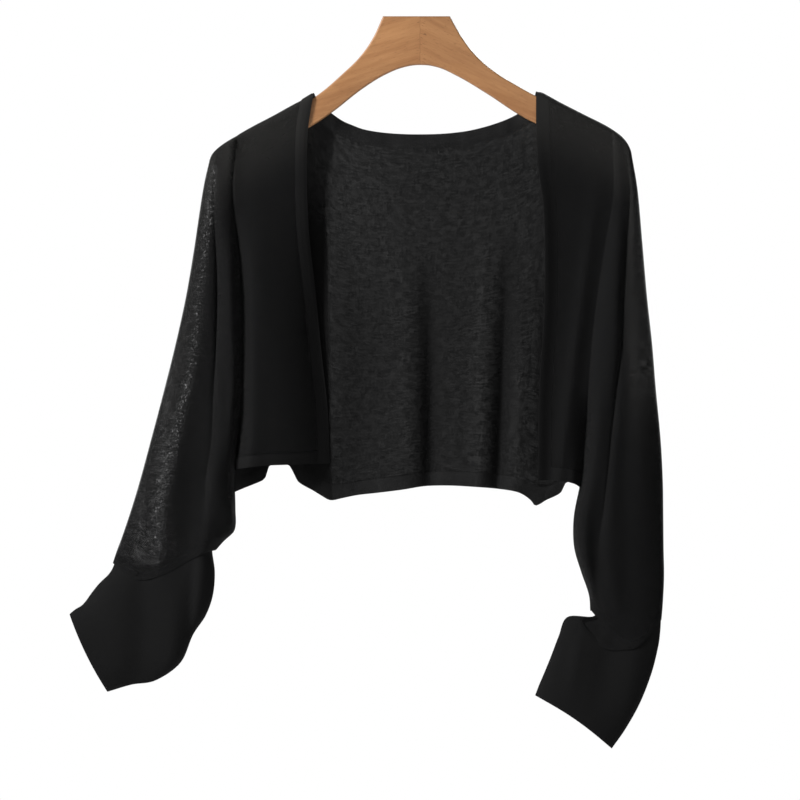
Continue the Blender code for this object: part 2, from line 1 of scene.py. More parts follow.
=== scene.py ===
"""Cropped open-front batwing cardigan in fine black knit on a flat wooden hanger: its looks.

The cloth's tables repeat those of the solids, in millimetres: "out" is the distance sideways from
the middle, and "drop" the distance below the hanger's top. Each cloth piece is a fine grid that
follows its solid, with its smaller folds placed one by one, a wall, a UV map in metres of cloth,
and shares for its material, such as how much light it lets past.
"""

import math
from collections import namedtuple

import bmesh
import bpy
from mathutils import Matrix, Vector

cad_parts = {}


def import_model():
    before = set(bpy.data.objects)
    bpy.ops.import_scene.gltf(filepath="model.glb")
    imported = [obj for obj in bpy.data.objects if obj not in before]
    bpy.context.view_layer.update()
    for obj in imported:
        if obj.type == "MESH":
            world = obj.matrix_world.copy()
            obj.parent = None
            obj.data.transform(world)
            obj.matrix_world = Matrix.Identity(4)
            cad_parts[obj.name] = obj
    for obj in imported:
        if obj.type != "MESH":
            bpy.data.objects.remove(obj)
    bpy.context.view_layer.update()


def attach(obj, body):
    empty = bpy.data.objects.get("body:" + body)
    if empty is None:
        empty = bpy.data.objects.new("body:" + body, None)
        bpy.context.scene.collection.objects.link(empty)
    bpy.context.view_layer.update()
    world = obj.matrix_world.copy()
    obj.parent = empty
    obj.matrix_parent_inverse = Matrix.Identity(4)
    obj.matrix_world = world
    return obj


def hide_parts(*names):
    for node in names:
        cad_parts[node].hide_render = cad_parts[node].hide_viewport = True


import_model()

MM = 0.001

# Walls and seams
KNIT_WALL = 1.0
BAND_WALL = 1.25
BAND_PROUD = 0.06  # how far a band stands out of the panel beside it
PROUD_DEPTH = 3.0  # a band nearer the middle plane than this stands out less
GAP = -1.0  # between two pieces at a seam: one is sewn a little way under the other
SHEER_GAP = -0.25  # and where both are sheer, so that their seam shows little
RIDGE_HALF_GAP = 0.1  # between a piece's edge on the shoulder line and the middle plane
CLOSED_HALF_GAP = 0.3  # between a closed armhole seam and the middle plane
CORNER_CLEAR = 2.5  # between the neck band's end and the back panel's corner
SHOULDER_ARCH = 5.0  # drop in which the cloth turns over the hanger's arm
ARCH_ROWS = 6  # grid rows in that turn
DOUBLES = 0.005  # grid points nearer than this are one point

# Widths of the plain bands
NECK_BAND = 14.5
HEM_BAND = 13.0
BACK_HEM_BAND = 15.0
SEAM_REACH = (-12, -6, 0, 6, 12)  # the back hem's seam is the mean of the hem this far aside

# Underarm: the armhole closes between these two drops
UNDERARM_START = 368
UNDERARM = 415
LEAST_OPENING = 1.5  # a seam less deep than this is closed

# Roundness of ridges, of the sleeve's folded edge and of a cuff's two folded edges
RIDGE_POWER = 0.8
RIDGE_REACH = 0.45  # share of the outer ridge's width in which it rises from the valley
EDGE_POWER = 3.4
CUFF_POWER = 2.6
CUFF_BOW_POWER = 3  # how fast the bow of a cuff's opening fades up the cuff

# Lower end of a sleeve, where the drooping seam with the cuff shows
DROOP_LENGTH = 70.0
BACK_FLATTER = 0.92  # the back wall's depth, as a share of the front wall's
FLATTER_FROM = 6  # it is so from this part of the sleeve's width: a sixth
BACK_VALLEY_START = 60.0  # the back wall's valley leaves the front's in this length from the top
BACK_VALLEY_END = (460, 540)  # and comes back to it between these two drops
TURN_ROWS = 6  # grid rows in which a sleeve's end turns in to its cuff
TURN_SAG = 1.0  # how far that turn reaches below the sleeve's end
TURN_UNDER = 1.0  # and how far under the cuff's face it goes
SETTLE_LENGTH = 60.0  # the sleeve settles onto its cuff in this length
SETTLE_STEP = 0.3  # and then stands this far out of it
CUFF_TUCK = 4.0  # how far a cuff reaches up inside its sleeve
CUFF_RECESS = 0.8  # how far its first row lies back there
CUFF_RECESS_ROWS = 2  # and in how many rows it comes forward again

# Grid sizes
FRONT_COLUMNS = 52
FRONT_ROWS = 118
BAND_SHARES = (0, 0.05, 0.18, 0.34, 0.5, 0.66, 0.82, 0.95, 1)
HEM_SHARES = (0, 0.05, 0.25, 0.5, 0.75, 0.95, 1)
BACK_ROWS = 120
SHOULDER_COLUMNS = 22
NECK_COLUMNS = 96
NECK_STEP = 0.05  # step along the neck's table that gives its direction
CORNER_COLUMNS = 11  # neck columns that the back leaves out at each end of its neck seam
INNER_RIDGE_COLUMNS = 18
OUTER_RIDGE_COLUMNS = 26
SLEEVE_ROWS = 140
CUFF_HALF_COLUMNS = 36
CUFF_STEPS = 6  # grid rows to each row of a cuff's table
SHOULDER_TRIES = 8  # times that a column's place on the shoulder line is worked out again
CUFF_TRIES = 14  # halvings that find a drop's place down a cuff's table

# Hanger
HANGER_THICKNESS = 12.0
HANGER_ROUNDING = 1.6
HANGER_TOP_HALF = 33.5
OUTLINE_STEPS = 8  # edges from one point of its outline to the next
ROUNDING_STEPS = 4
SHARP_ANGLE = math.radians(35)
FACING = 0.9  # a face whose normal is nearer to front or back than this is one of its flats

# Camera: straight on, with a frame 0.8 m wide at the object
CAMERA_DISTANCE = 7.0
FRAME_WIDTH = 0.8
FRAME_CENTRE = (-0.0165, -0.3835)
SENSOR_WIDTH = 36
FAR = 50
FLOOR_DROP = 1.1
FLOOR_SIZE = 10

Point = namedtuple("Point", "x drop")
Shoulder = namedtuple("Shoulder", "out drop")
Edge = namedtuple("Edge", "drop out")
Hem = namedtuple("Hem", "out drop")
Drape = namedtuple("Drape", "drop edge crest seam")
Sleeve = namedtuple("Sleeve", "down outer_out outer_drop inner_out inner_drop valley crest crease")
Cuff = namedtuple("Cuff", "outer_out outer_drop inner_out inner_drop depth")
Back = namedtuple("Back", "share chest waist hem")
Cut = namedtuple("Cut", "name shares rows out_at top bottom")
Cloth = namedtuple("Cloth", "material slot wall raised")
Lift = namedtuple("Lift", "drop narrow broad")
Fold = namedtuple("Fold", "top bottom x_top x_middle x_bottom push width")
Fade = namedtuple("Fade", "none full")  # where a thing isn't there yet, and where it is in full
Lamp = namedtuple("Lamp", "name place width power")
Side = namedtuple(
    "Side",
    "name sign band peak shoulder edge hem sleeve back_valley droop droop_power cuff cuff_bow",
)


def table(kind, *rows):
    """Rows with the named columns of their kind."""
    return tuple(kind(*row) for row in rows)


# Depth of the front before the middle plane: at its edge, on the ridge by the armhole, in the seam
DRAPE = table(
    Drape,
    (75, 8.0, 8.0, 8.0), (130, 8.0, 8.4, 8.0), (190, 8.0, 12.0, 8.2),
    (240, 7.8, 17.0, 8.8), (300, 7.4, 21.0, 9.0), (370, 7.0, 23.0, 9.0),
    (415, 6.8, 23.0, 9.0), (480, 6.5, 21.0, 9.0),
)

# How far each front's free edge stands forward: in a narrow strip at the edge and in a broad one
EDGE_LIFT = {
    "left": table(
        Lift,
        (75, 0, 0), (150, 0.1, -0.6), (220, 0.3, -3.8), (300, 0.5, -8), (380, 0.5, -8.2),
        (450, 0.5, -6.5),
    ),
    "right": table(Lift, (75, 0, 0), (130, 1, 1), (180, 4, 3), (300, 4.8, 5), (465, 4.5, 4)),
}
LIFT_WIDTHS = {"left": (6, 30), "right": (8, 34)}
CREST_SHARE = {"left": 1.0, "right": 0.12}  # how much of the armhole's ridge a front shows
STEADY_FALL = {"left": 1.0, "right": 0.0}  # 1 where a front falls back from its ridge to its edge
STEADY_FADE = Fade(110, 230)

# Depth of the back behind the middle plane, by share of its width from the left armhole
BACK_TOP = 8.0
BACK_LEVELS = (130, 210, 320, 450)
BACK = table(
    Back,
    (0.000, 10.0, 16.0, 17.0), (0.060, 12.0, 19.0, 20.0), (0.160, 10.0, 14.0, 13.0),
    (0.255, 7.5, 3.5, 1.5), (0.360, 8.0, 6.0, 7.0), (0.450, 8.0, 4.0, 2.0),
    (0.540, 8.0, 8.0, 9.0), (0.680, 8.0, 5.0, 3.0), (0.740, 8.0, 8.0, 8.5),
    (0.800, 8.0, 5.5, 3.0), (0.850, 8.0, 8.0, 8.0), (0.910, 9.5, 14.0, 14.0),
    (0.955, 11.0, 17.0, 17.0), (1.000, 10.0, 15.0, 15.0),
)
BACK_SEAM_SHARE = 0.06

NECK_EDGE = table(
    Point,
    (-102.5, 76.6), (-99.5, 82), (-92.5, 90), (-83.5, 97.5), (-74, 104), (-64, 108.4),
    (-52, 112.7), (-34, 115.7), (-14, 117.2), (6, 117.5), (26, 116.9), (46, 114.9), (61, 112),
    (76, 107.8), (91, 102.3), (103, 96), (112, 88), (117.5, 81.5), (119.5, 74.8),
)

BACK_HEM = table(
    Point,
    (-183, 476), (-174, 472.2), (-164, 468.3), (-154, 463.9), (-151.5, 461), (-148.5, 449.5),
    (-139, 448), (-129, 449), (-123.5, 457), (-119, 464.6), (-113, 469), (-104, 473.8),
    (-94, 479.8), (-88, 483.2), (-83, 483.7), (-74, 481.7), (-59, 478.7), (-39, 476.4),
    (-14, 473.2), (6, 470), (26, 469.1), (46, 469.7), (76, 472), (96, 474.5), (106, 477.7),
    (116, 484), (121, 489.1), (126, 487.6), (131, 484), (141, 479), (145.5, 475), (148, 466.5),
    (156, 466.5), (166, 470),
)

LEFT = Side(
    name="left",
    sign=-1,
    band=12.0,
    peak=0.82,
    shoulder=table(
        Shoulder,
        (0, 20), (102.5, 76.6), (116, 84.7), (140, 98.5), (164, 111), (180, 119.5), (190, 125.3),
        (196, 129.5), (201.2, 134), (204.7, 138.3), (206.8, 143),
    ),
    edge=table(
        Edge,
        (76.6, 102.5), (94, 105.6), (112, 108.2), (150, 109.5), (215, 107.5), (270, 101.5),
        (330, 95.5), (390, 89), (448, 86.5),
    ),
    hem=table(Hem, (86, 447), (120, 448), (149, 448.8), (165, 450.4), (183, 453)),
    sleeve=table(
        Sleeve,
        (118.7, 206.8, 143, 178.5, 118.7, 0.62, 10, 10),
        (173, 213.4, 173, 183.5, 173, 0.62, 11.5, 9.8),
        (240, 223.6, 240, 177, 240, 0.49, 17, 9.5),
        (284, 231.3, 284, 174.5, 284, 0.43, 20, 9.5),
        (333, 242.2, 333, 174, 333, 0.385, 21, 9.5),
        (383, 254.8, 383, 175, 383, 0.35, 21, 10),
        (423, 265.4, 423, 178.5, 423, 0.30, 21, 11),
        (462, 276.2, 463, 182, 461, 0.30, 21, 12),
        (492, 284.9, 492, 181.5, 492, 0.29, 20, 13),
        (517, 294.3, 520, 182.5, 514, 0.27, 19, 14.5),
        (529, 299.2, 533, 193.0, 524.5, 0.24, 18.7, 15.8),
        (541, 303.7, 546.5, 201.0, 533.5, 0.22, 18.5, 17),
    ),
    back_valley=0.52,
    droop=20.0,
    droop_power=1.6,
    cuff=table(
        Cuff,
        (300.0, 538.0, 204.5, 526.0, 9.5), (302.6, 548.5, 204.0, 537.0, 10.0),
        (307.5, 557.3, 201.6, 556.0, 11.0), (317.0, 566.6, 203.6, 579.0, 12.0),
        (324.5, 575.8, 211.0, 599.5, 13.0), (330.5, 584.2, 223.5, 618.4, 13.5),
        (335.0, 589.0, 236.0, 646.3, 13.0), (340.5, 592.3, 261.0, 664.0, 12.5),
        (344.0, 595.0, 285.0, 668.2, 12.2), (347.0, 597.6, 309.0, 675.3, 12.0),
    ),
    cuff_bow=2.2,
)

RIGHT = Side(
    name="right",
    sign=1,
    band=13.0,
    peak=0.72,
    shoulder=table(
        Shoulder,
        (0, 15), (119.5, 74.8), (125.5, 76), (132, 79.4), (144, 86), (168, 98.3), (184, 106.2),
        (192, 110.6), (200, 115.8), (206, 120.7), (211, 127), (214.3, 134), (215.4, 139.5),
    ),
    edge=table(
        Edge,
        (74.8, 119.5), (110, 119.5), (155, 122), (190, 126.5), (240, 128), (300, 127),
        (370, 122.5), (464, 121),
    ),
    hem=table(Hem, (120, 463.5), (145, 464.5), (156, 467), (161, 469.4), (166, 473)),
    sleeve=table(
        Sleeve,
        (112.9, 215.4, 139.5, 195.5, 112.9, 0.65, 9.8, 9.8),
        (175, 221.3, 175, 197, 175, 0.66, 11, 9.5),
        (228, 226, 228, 188.5, 228, 0.57, 15, 9.5),
        (281, 230.6, 281, 180, 281, 0.52, 18, 9.5),
        (328, 235.7, 328, 174.5, 328, 0.49, 19.5, 9.5),
        (372, 239.3, 372, 171.5, 372, 0.41, 20, 10),
        (423, 244.1, 423, 168, 423, 0.34, 20, 11),
        (464, 246.3, 464, 164.5, 464, 0.31, 20, 12),
        (500, 246.8, 500, 157.8, 500, 0.31, 20, 13),
        (531, 247.1, 532, 158, 530, 0.26, 20, 15),
        (558, 247.6, 560, 165, 555, 0.20, 20, 17),
        (580, 246.4, 586, 172.8, 578, 0.16, 20, 19),
        (597, 245.0, 603, 174.2, 594, 0.12, 20, 20),
    ),
    back_valley=0.45,
    droop=34.0,
    droop_power=1.2,
    cuff=table(
        Cuff,
        (244.4, 590.0, 178.5, 585.0, 8.5), (244.4, 604.0, 177.5, 599.6, 8.8),
        (243.6, 617.0, 151.0, 600.3, 9.2), (241.6, 631.0, 142.0, 620.0, 10.5),
        (235.0, 657.0, 134.2, 640.5, 11.5), (223.5, 686.5, 127.0, 658.0, 12.0),
        (209.0, 712.5, 122.3, 669.0, 12.0), (195.3, 732.0, 118.6, 678.8, 12.0),
    ),
    cuff_bow=-3.2,
)

# Hanger outline, from its flat top's left end round the left arm, the underside and the right arm
HANGER_OUTLINE = table(
    Point,
    (-37.4, 9), (-42, 19), (-54.8, 38.5), (-73.2, 57), (-102, 81), (-145, 104.8), (-183, 124.8),
    (-193, 132), (-195, 139), (-186, 144), (-150, 131), (-106.5, 110.5), (-84, 95.5), (-53, 71.5),
    (-29, 57), (-11, 50.3), (5, 48.4), (21, 50.7), (38.5, 58.3), (70, 76.8), (101.5, 97.5),
    (120, 107.5), (160, 124), (190, 135), (202, 134), (204, 126), (193, 114.5), (161, 98.7),
    (119, 79.5), (97, 67.3), (82, 58.2), (60.6, 40.5), (46, 22), (39, 10),
)

# Folds placed one by one: a soft trough or ridge down a line, tapered at its ends; a push is
# outwards
FRONT_FOLDS = table(
    Fold,
    # left front panel
    (190, 640, -166, -166, -164, 3.0, 20),
    (150, 700, -130, -130, -130, 3.5, 55),
    (150, 330, -160, -158, -156, 0.8, 9),
    (330, 600, -152, -150, -150, -0.8, 8),
    # left armhole seam, soft near the shoulder
    (0, 330, -181, -185, -183, 3.6, 8),
    (100, 330, -200, -196, -194, 1.2, 8),
    (220, 540, -186, -182, -183, 5.0, 7),
    # left sleeve: the shallow valley beside the armhole's ridge, then the outer drapes
    (110, 640, -203, -200.5, -224, 7.0, 9),
    (230, 560, -216, -222, -232, -1.2, 8),
    (300, 600, -236, -246, -262, 1.6, 7),
    (330, 640, -224, -232, -240, -1.2, 8),
    (420, 600, -256, -268, -280, -1.0, 6),
    # right front panel: a low ridge beside the armhole seam
    (150, 600, 184, 154, 128, 3.5, 8),
    # right sleeve
    (200, 560, 205, 199, 184, 7.0, 9),
    (430, 600, 160, 160, 166, 5.0, 9),
    (150, 420, 222, 226, 224, -0.8, 6),
    (260, 520, 216, 222, 226, 1.0, 8),
    (420, 640, 190, 194, 190, 2.5, 12),
    (420, 610, 212, 210, 208, -0.8, 8),
    (530, 600, 186, 198, 203, 1.4, 4),
    # left cuff
    (545, 720, -271, -274, -280, -3.6, 16),
    (550, 700, -240, -241, -246, 2.2, 9),
    (540, 640, -223, -226, -229, -2.2, 4),
    # right cuff
    (590, 700, 194, 190, 180, -2.6, 14),
    (590, 690, 168, 160, 150, 1.2, 7),
    (590, 720, 226, 218, 204, 1.4, 9),
)
BACK_FOLDS = table(
    Fold,
    (200, 560, -142, -146, -149, 2.2, 9),
    (260, 600, -116, -112, -110, -2.4, 8),
    (120, 360, -60, -48, -52, -0.8, 12),
    (240, 620, -12, -12, -14, -3.2, 9),
    (230, 640, 11, 11, 9, 8.0, 8),
    (230, 640, 62, 60, 54, -3.4, 7),
    (215, 640, 92, 80, 70, 8.5, 7.5),
    (240, 620, 104, 101, 98, -2.6, 7),
    (210, 540, 148, 142, 138, -1.8, 8),
    (170, 420, -196, -202, -206, -1.8, 8),
    (260, 600, -222, -236, -250, 2.0, 9),
    (330, 600, -240, -254, -272, -1.8, 8),
    (180, 480, 214, 216, 214, -1.6, 8),
    (300, 600, 228, 232, 230, 1.8, 8),
    (420, 640, 206, 204, 206, -1.8, 9),
    (550, 720, -276, -282, -288, -3.0, 10),
    (560, 700, -236, -240, -250, 1.6, 9),
    (590, 720, 204, 196, 186, -2.8, 11),
    (580, 700, 164, 156, 146, 1.6, 9),
)
FOLD_TAPER = 0.8
FOLD_CLEAR = 9.0  # a wall nearer the middle plane than this takes less of a fold

EDGE_ROUNDING = 0.25  # share of a wall that its edges are rounded by

# Sheerness: the share of light that a face of the cloth lets past, before its unevenness
KNIT_SHEER = 0.09
OUTER_SHEER = 0.27  # in the outer part of a sleeve
BACK_HEM_SHEER = 0.085
NECK_BAND_SHEER = 0.08
SEAM_ALLOWANCE = 12.0  # the cloth lies double in this length above a cuff
SEAM_TURN = 4.0  # and this close to the sleeve's end
LEFT_SHEER_TOP = Fade(122, 162)
RIGHT_SHEER_TOP = Fade(140, 190)
RIGHT_SHEER_END = Fade(460, 350)
RIGHT_ZONE_SHARE = 0.4  # of the right sleeve's width, from its outer fold
RIGHT_SOFTNESS = 20.0

# Outer part of the left sleeve, which hangs stretched
OUTER_ZONE = table(
    Edge,
    (110, 196), (183, 201), (243, 213), (303, 218), (363, 225), (423, 236), (483, 244),
    (545, 243),
)
OUTER_SOFTNESS = 24.0

# The back beside the left front lies double at the top
DOUBLE_STRIP = table(Edge, (60, 82), (125, 82.5), (175, 90), (240, 89.5), (460, 85.5), (500, 85))
DOUBLE_SHARE = 0.6  # of its sheerness
DOUBLE_FADE = Fade(140, 250)
STRIP_SOFTNESS = 3.0

# Where the back lies closer in its troughs and looser on its ridges, as a share of its sheerness
DENSITY = table(
    Fold,
    (235, 620, 10, 11, 8, 0.85, 9),
    (215, 620, 96, 82, 71, 0.85, 9),
    (200, 620, 66, 63, 56, -0.32, 6),
    (250, 620, -8, -11, -15, -0.16, 9),
    (300, 620, 103, 101, 97, -0.12, 7),
    (180, 560, -62, -60, -50, 0.16, 26),
    (200, 520, 36, 36, 34, 0.12, 14),
    (60, 300, -66, -56, -40, -0.2, 34),
    (200, 560, 122, 125, 120, 0.3, 6),
)

# Streaks where the knit is stretched open: the front wall in specks and the back wall evenly
MOST_STRETCHED = 1.1
EVEN_OPENING = 0.2  # how much sheerer the back wall is there
STRETCHED = table(
    Fold,
    (100, 360, -195, -211, -226, 1.5, 5),
    (290, 480, -214, -232, -251, 1.2, 5),
    (330, 640, -215, -256.5, -255, 1.0, 5),
    (300, 560, -240, -256, -276, 0.55, 5),
    (440, 600, -276, -277, -279, 0.55, 6),
    (480, 620, -241, -240, -238, 0.6, 4),
    (500, 560, 163, 167, 172, 0.9, 5),
)

# Painted highlight: paler colour along the shoulders over the hanger's arms, where light from above
# falls, and in the outer parts of the sleeves, where light grazes them
ARM_FADE = Fade(78, 10)  # drop below the shoulder line
ARM_START = Fade(90, 110)
LEFT_LIGHTER = 0.3
LEFT_LIGHTER_TOP = Fade(110, 150)
LEFT_LIGHTER_END = Fade(520, 300)
RIGHT_LIGHTER = 0.7
RIGHT_LIGHTER_EDGE = Fade(206, 218)
RIGHT_LIGHTER_TOP = Fade(150, 190)
RIGHT_LIGHTER_END = Fade(460, 330)

# Colours
KNIT_DARK = (0.0036, 0.0036, 0.0037, 1)
KNIT_LIGHT = (0.0092, 0.0092, 0.0093, 1)
PLAIN_DARK = (0.0048, 0.0048, 0.0049, 1)
PLAIN_LIGHT = (0.0078, 0.0078, 0.0079, 1)
PAINTED_HIGHLIGHT_COLOUR = (0.0165, 0.0162, 0.0155, 1)
PAINTED_SHADE_INSIDE_BACK = (0.0026, 0.0026, 0.0026, 1)  # painted shade: the inside of the back made darker, where the fronts shade it
# pieces whose colour takes the painted shade inside the back
PAINTED_SHADE_PIECES = ("back", "hem_back")
BEECH_DARK = (0.265, 0.118, 0.044, 1)
BEECH_LIGHT = (0.375, 0.185, 0.074, 1)
BEECH_FLECK = (0.125, 0.05, 0.018, 1)
FLOOR_COLOUR = (0.82, 0.82, 0.82, 1)
WHITE = (1, 1, 1, 1)

# Sizes of the stitches in metres, and heights that the light sees
FINE_WALE, FINE_COURSE = 0.0012, 0.0009
PLAIN_WALE, PLAIN_COURSE = 0.0008, 0.0007
FINE_STITCH_HEIGHT = 0.00018
FUZZ_HEIGHT = 0.0001
PLAIN_STITCH_HEIGHT = 0.00012
GRAIN_HEIGHT = 0.00008
BLACK_YARN = {"Sheen Weight": 0.02, "Sheen Roughness": 0.5, "Specular IOR Level": 0.04}

# The hanger's joint of its two arms, and each arm's own piece of wood
JOINT_X = 0.0035
JOINT_WANDER = 0.0016
LEFT_GRAIN_TURN = 0.3
RIGHT_GRAIN_TURN = 0.14  # more
RIGHT_WOOD = (0.37, 0.21)  # its place in the grain

LAMP_AIM = Vector((0, 0, -0.35))
LAMPS = table(
    Lamp,
    ("key light", (-3.0, -1.8, 1.6), 1.2, 250),
    ("front light", (0.8, -3.4, 0.4), 1.6, 10),
    ("back light", (1.8, 3.0, 1.6), 1.6, 120),
)
ROOM_LIGHT = 0.12


def mix(low, high, share):
    return low + (high - low) * share


def clamp(share):
    return min(max(share, 0.0), 1.0)


def ease(share):
    """0 to 1 with a soft start and end."""
    share = clamp(share)
    return share * share * (3 - 2 * share)


def fade(place, ends):
    """0 to 1, softly, between the two ends of a fade."""
    return ease((place - ends.none) / (ends.full - ends.none))


def beyond(distance, softness):
    """0 to 1 across a soft line, at a distance past it."""
    return ease(distance / softness + 0.5)


def slope_at(rows, index, column):
    """How fast a column changes at a row, for each step of the table's first column."""
    low = rows[max(index - 1, 0)]
    high = rows[min(index + 1, len(rows) - 1)]
    return (high[column] - low[column]) / (high[0] - low[0])


def smooth_between(rows, index, column, part):
    """A column's value part of the way from one row to the next, on a smooth curve."""
    low, high = rows[index], rows[index + 1]
    width = high[0] - low[0]
    start = slope_at(rows, index, column) * width
    end = slope_at(rows, index + 1, column) * width
    rise = high[column] - low[column]
    bend = start + end - 2 * rise
    lift = 3 * rise - 2 * start - end
    return low[column] + part * (start + part * (lift + part * bend))


def follow(rows, place):
    """A table's row at a place along its first column, on a smooth curve through its rows."""
    place = min(max(place, rows[0][0]), rows[-1][0])
    index = 0
    while index < len(rows) - 2 and place > rows[index + 1][0]:
        index += 1
    part = (place - rows[index][0]) / (rows[index + 1][0] - rows[index][0])
    values = [smooth_between(rows, index, column, part) for column in range(1, len(rows[index]))]
    return type(rows[index])(place, *values)


def thread(rows, place):
    """A table's row at a place counted in rows, on a smooth curve through them."""
    numbered = [(index, *row) for index, row in enumerate(rows)]
    index = min(int(place), len(rows) - 2)
    columns = range(1, len(rows[0]) + 1)
    values = [smooth_between(numbered, index, column, place - index) for column in columns]
    return type(rows[0])(*values)


def pushed(out, drop, run, fall, distance):
    """A point moved this far square to a line that runs and falls so."""
    length = math.hypot(run, fall)
    return out - distance * fall / length, drop + distance * run / length


def ridge_drop(side, out):
    return follow(side.shoulder, out).drop


def armhole_out(side, drop):
    return follow(side.sleeve, drop).inner_out


def seam_depth(drop):
    """Depth of the armhole seam, which closes to the middle plane at the underarm."""
    closed = ease((drop - UNDERARM_START) / (UNDERARM - UNDERARM_START))
    open_depth = follow(DRAPE, drop).seam * (1 - closed)
    return open_depth if open_depth > LEAST_OPENING else CLOSED_HALF_GAP


def shoulder_arch(below):
    """Share of the full depth that the cloth has reached at this drop below the shoulder line."""
    left = 1 - min(max(below, 0.0), SHOULDER_ARCH) / SHOULDER_ARCH
    return math.sqrt(1 - left * left)


def row_drop(top, bottom, row, rows):
    """Rows close together over the shoulder and even below it."""
    if row < ARCH_ROWS:
        return top + SHOULDER_ARCH * (1 - math.cos(math.pi * row / ARCH_ROWS / 2))
    return mix(top + SHOULDER_ARCH, bottom, (row - ARCH_ROWS) / (rows - ARCH_ROWS))


def world(x, depth, drop):
    return Vector((x * MM, depth * MM, -drop * MM))


def folded(folds, x, drop):
    """The sum of a table's folds at a point of the cloth."""
    total = 0.0
    for fold in folds:
        along = (drop - fold.top) / (fold.bottom - fold.top)
        if 0 < along < 1:
            bow = 4 * along * (1 - along) * (fold.x_middle - (fold.x_top + fold.x_bottom) / 2)
            aside = (x - mix(fold.x_top, fold.x_bottom, along) - bow) / fold.width
            total += fold.push * math.sin(math.pi * along) ** FOLD_TAPER * math.exp(-aside * aside)
    return total


def creased(side, in_front, out, depth, drop):
    """A wall's depth with its folds."""
    folds = FRONT_FOLDS if in_front else BACK_FOLDS
    return depth + folded(folds, side.sign * out, drop) * ease(depth / FOLD_CLEAR)


def front_depth(side, out, drop):
    """Depth of a front panel: flat at its front edge, with a ridge beside the armhole seam."""
    edge_out = follow(side.edge, drop).out
    share = (out - edge_out) / (armhole_out(side, drop) - edge_out)
    drape = follow(DRAPE, drop)
    crest = mix(drape.edge, drape.crest, CREST_SHARE[side.name])
    if share < side.peak:
        steady = STEADY_FALL[side.name] * fade(drop, STEADY_FADE)
        straight = math.sin(max(share, 0) / side.peak * math.pi / 2)
        rise = mix(ease(share / side.peak), straight, steady)
        depth = mix(drape.edge, crest, rise)
    else:
        part = clamp((1 - share) / (1 - side.peak))
        rise = math.sin(part * math.pi / 2) ** RIDGE_POWER
        depth = mix(seam_depth(drop), crest, rise)
    lift = follow(EDGE_LIFT[side.name], drop)
    narrow, broad = ((out - edge_out) / width for width in LIFT_WIDTHS[side.name])
    depth += lift.narrow * math.exp(-narrow * narrow) + lift.broad * math.exp(-broad * broad)
    return creased(side, True, out, depth, drop)


def back_depth(x, drop):
    """Depth of the back: flat behind the hanger, with soft upright folds lower down."""
    left = -armhole_out(LEFT, drop)
    right = armhole_out(RIGHT, drop)
    share = clamp((x - left) / (right - left))
    fold = follow(BACK, share)
    depths = (BACK_TOP, fold.chest, fold.waist, fold.hem)
    place = min(max(drop, BACK_LEVELS[0]), BACK_LEVELS[-1])
    index = 0
    while index < len(BACK_LEVELS) - 2 and place > BACK_LEVELS[index + 1]:
        index += 1
    level = Fade(BACK_LEVELS[index], BACK_LEVELS[index + 1])
    depth = mix(depths[index], depths[index + 1], fade(place, level))
    seam = seam_depth(drop)
    part = min(share, 1 - share) / BACK_SEAM_SHARE
    lift = math.sin(min(part, 1.0) * math.pi / 2) ** RIDGE_POWER
    room = mix(ease(seam / FOLD_CLEAR), 1.0, lift)
    return mix(seam, depth, lift) + folded(BACK_FOLDS, x, drop) * room


def proud(depth):
    """Depth of a band that stands a little out of the panel beside it, but not at a closed edge."""
    return depth + BAND_PROUD * min(1.0, depth / PROUD_DEPTH)


def lengths_from_middle(points):
    """Distance of each point from the middle one, along the row of points."""
    middle = len(points) // 2
    run = [0.0]
    for before, here in zip(points, points[1:]):
        run.append(run[-1] + (here - before).length)
    return [length - run[middle] for length in run]


def add_object(name, data):
    piece = bpy.data.objects.new(name, data)
    bpy.context.scene.collection.objects.link(piece)
    return piece


def material_shares(name, point, sheer):
    """What the materials read at a point of the cloth."""
    x, drop = point.x / MM, -point.z / MM
    stretched = min(folded(STRETCHED, x, drop), MOST_STRETCHED)
    at_back = point.y > 0
    return {
        "sheer": sheer(x, drop) + at_back * stretched * EVEN_OPENING,
        "stretched": 0.0 if at_back else stretched,
        # painted highlight: paler colour on the shoulders and the sleeves' outer parts
        "painted_highlight": painted_highlight_share(x, drop),
        # 1 on the pieces that take the painted shade inside the back
        "inside": float(name in PAINTED_SHADE_PIECES),
    }


def sheet(name, columns, rows, place, cloth, sheer):
    """A cloth wall: a grid with its points put in place, its doubles merged and its wall added."""
    points = [[place(column, row) for column in range(columns + 1)] for row in range(rows + 1)]
    across = [lengths_from_middle(line) for line in points]
    down = lengths_from_middle([line[columns // 2] for line in points])
    grid = bmesh.new()
    bmesh.ops.create_grid(grid, x_segments=columns, y_segments=rows, size=0.5)
    cloth_map = grid.loops.layers.uv.new("cloth")
    kinds = ("sheer", "stretched", "painted_highlight", "inside")
    layers = {kind: grid.verts.layers.float.new(kind) for kind in kinds}
    for vertex in grid.verts:
        column = round((vertex.co.x + 0.5) * columns)
        row = round((0.5 - vertex.co.y) * rows)
        vertex.co = points[row][column]
        for kind, value in material_shares(name, vertex.co, sheer).items():
            vertex[layers[kind]] = value
        for loop in vertex.link_loops:
            loop[cloth_map].uv = (across[row][column], -down[row])
    bmesh.ops.remove_doubles(grid, verts=grid.verts, dist=DOUBLES * MM)
    mesh = bpy.data.meshes.new(name)
    grid.to_mesh(mesh)
    grid.free()
    mesh.shade_smooth()
    mesh.materials.append(cloth.material)
    piece = add_object(f"{name}_cloth", mesh)
    solidify = piece.modifiers.new("wall", "SOLIDIFY")
    solidify.thickness = cloth.wall * MM
    solidify.offset = -1
    solidify.thickness_clamp = 2
    rounding = piece.modifiers.new("rounded edges", "BEVEL")
    rounding.width = cloth.wall * EDGE_ROUNDING * MM
    rounding.segments = 2
    rounding.angle_limit = math.radians(60)
    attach(piece, "root")
    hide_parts(name)


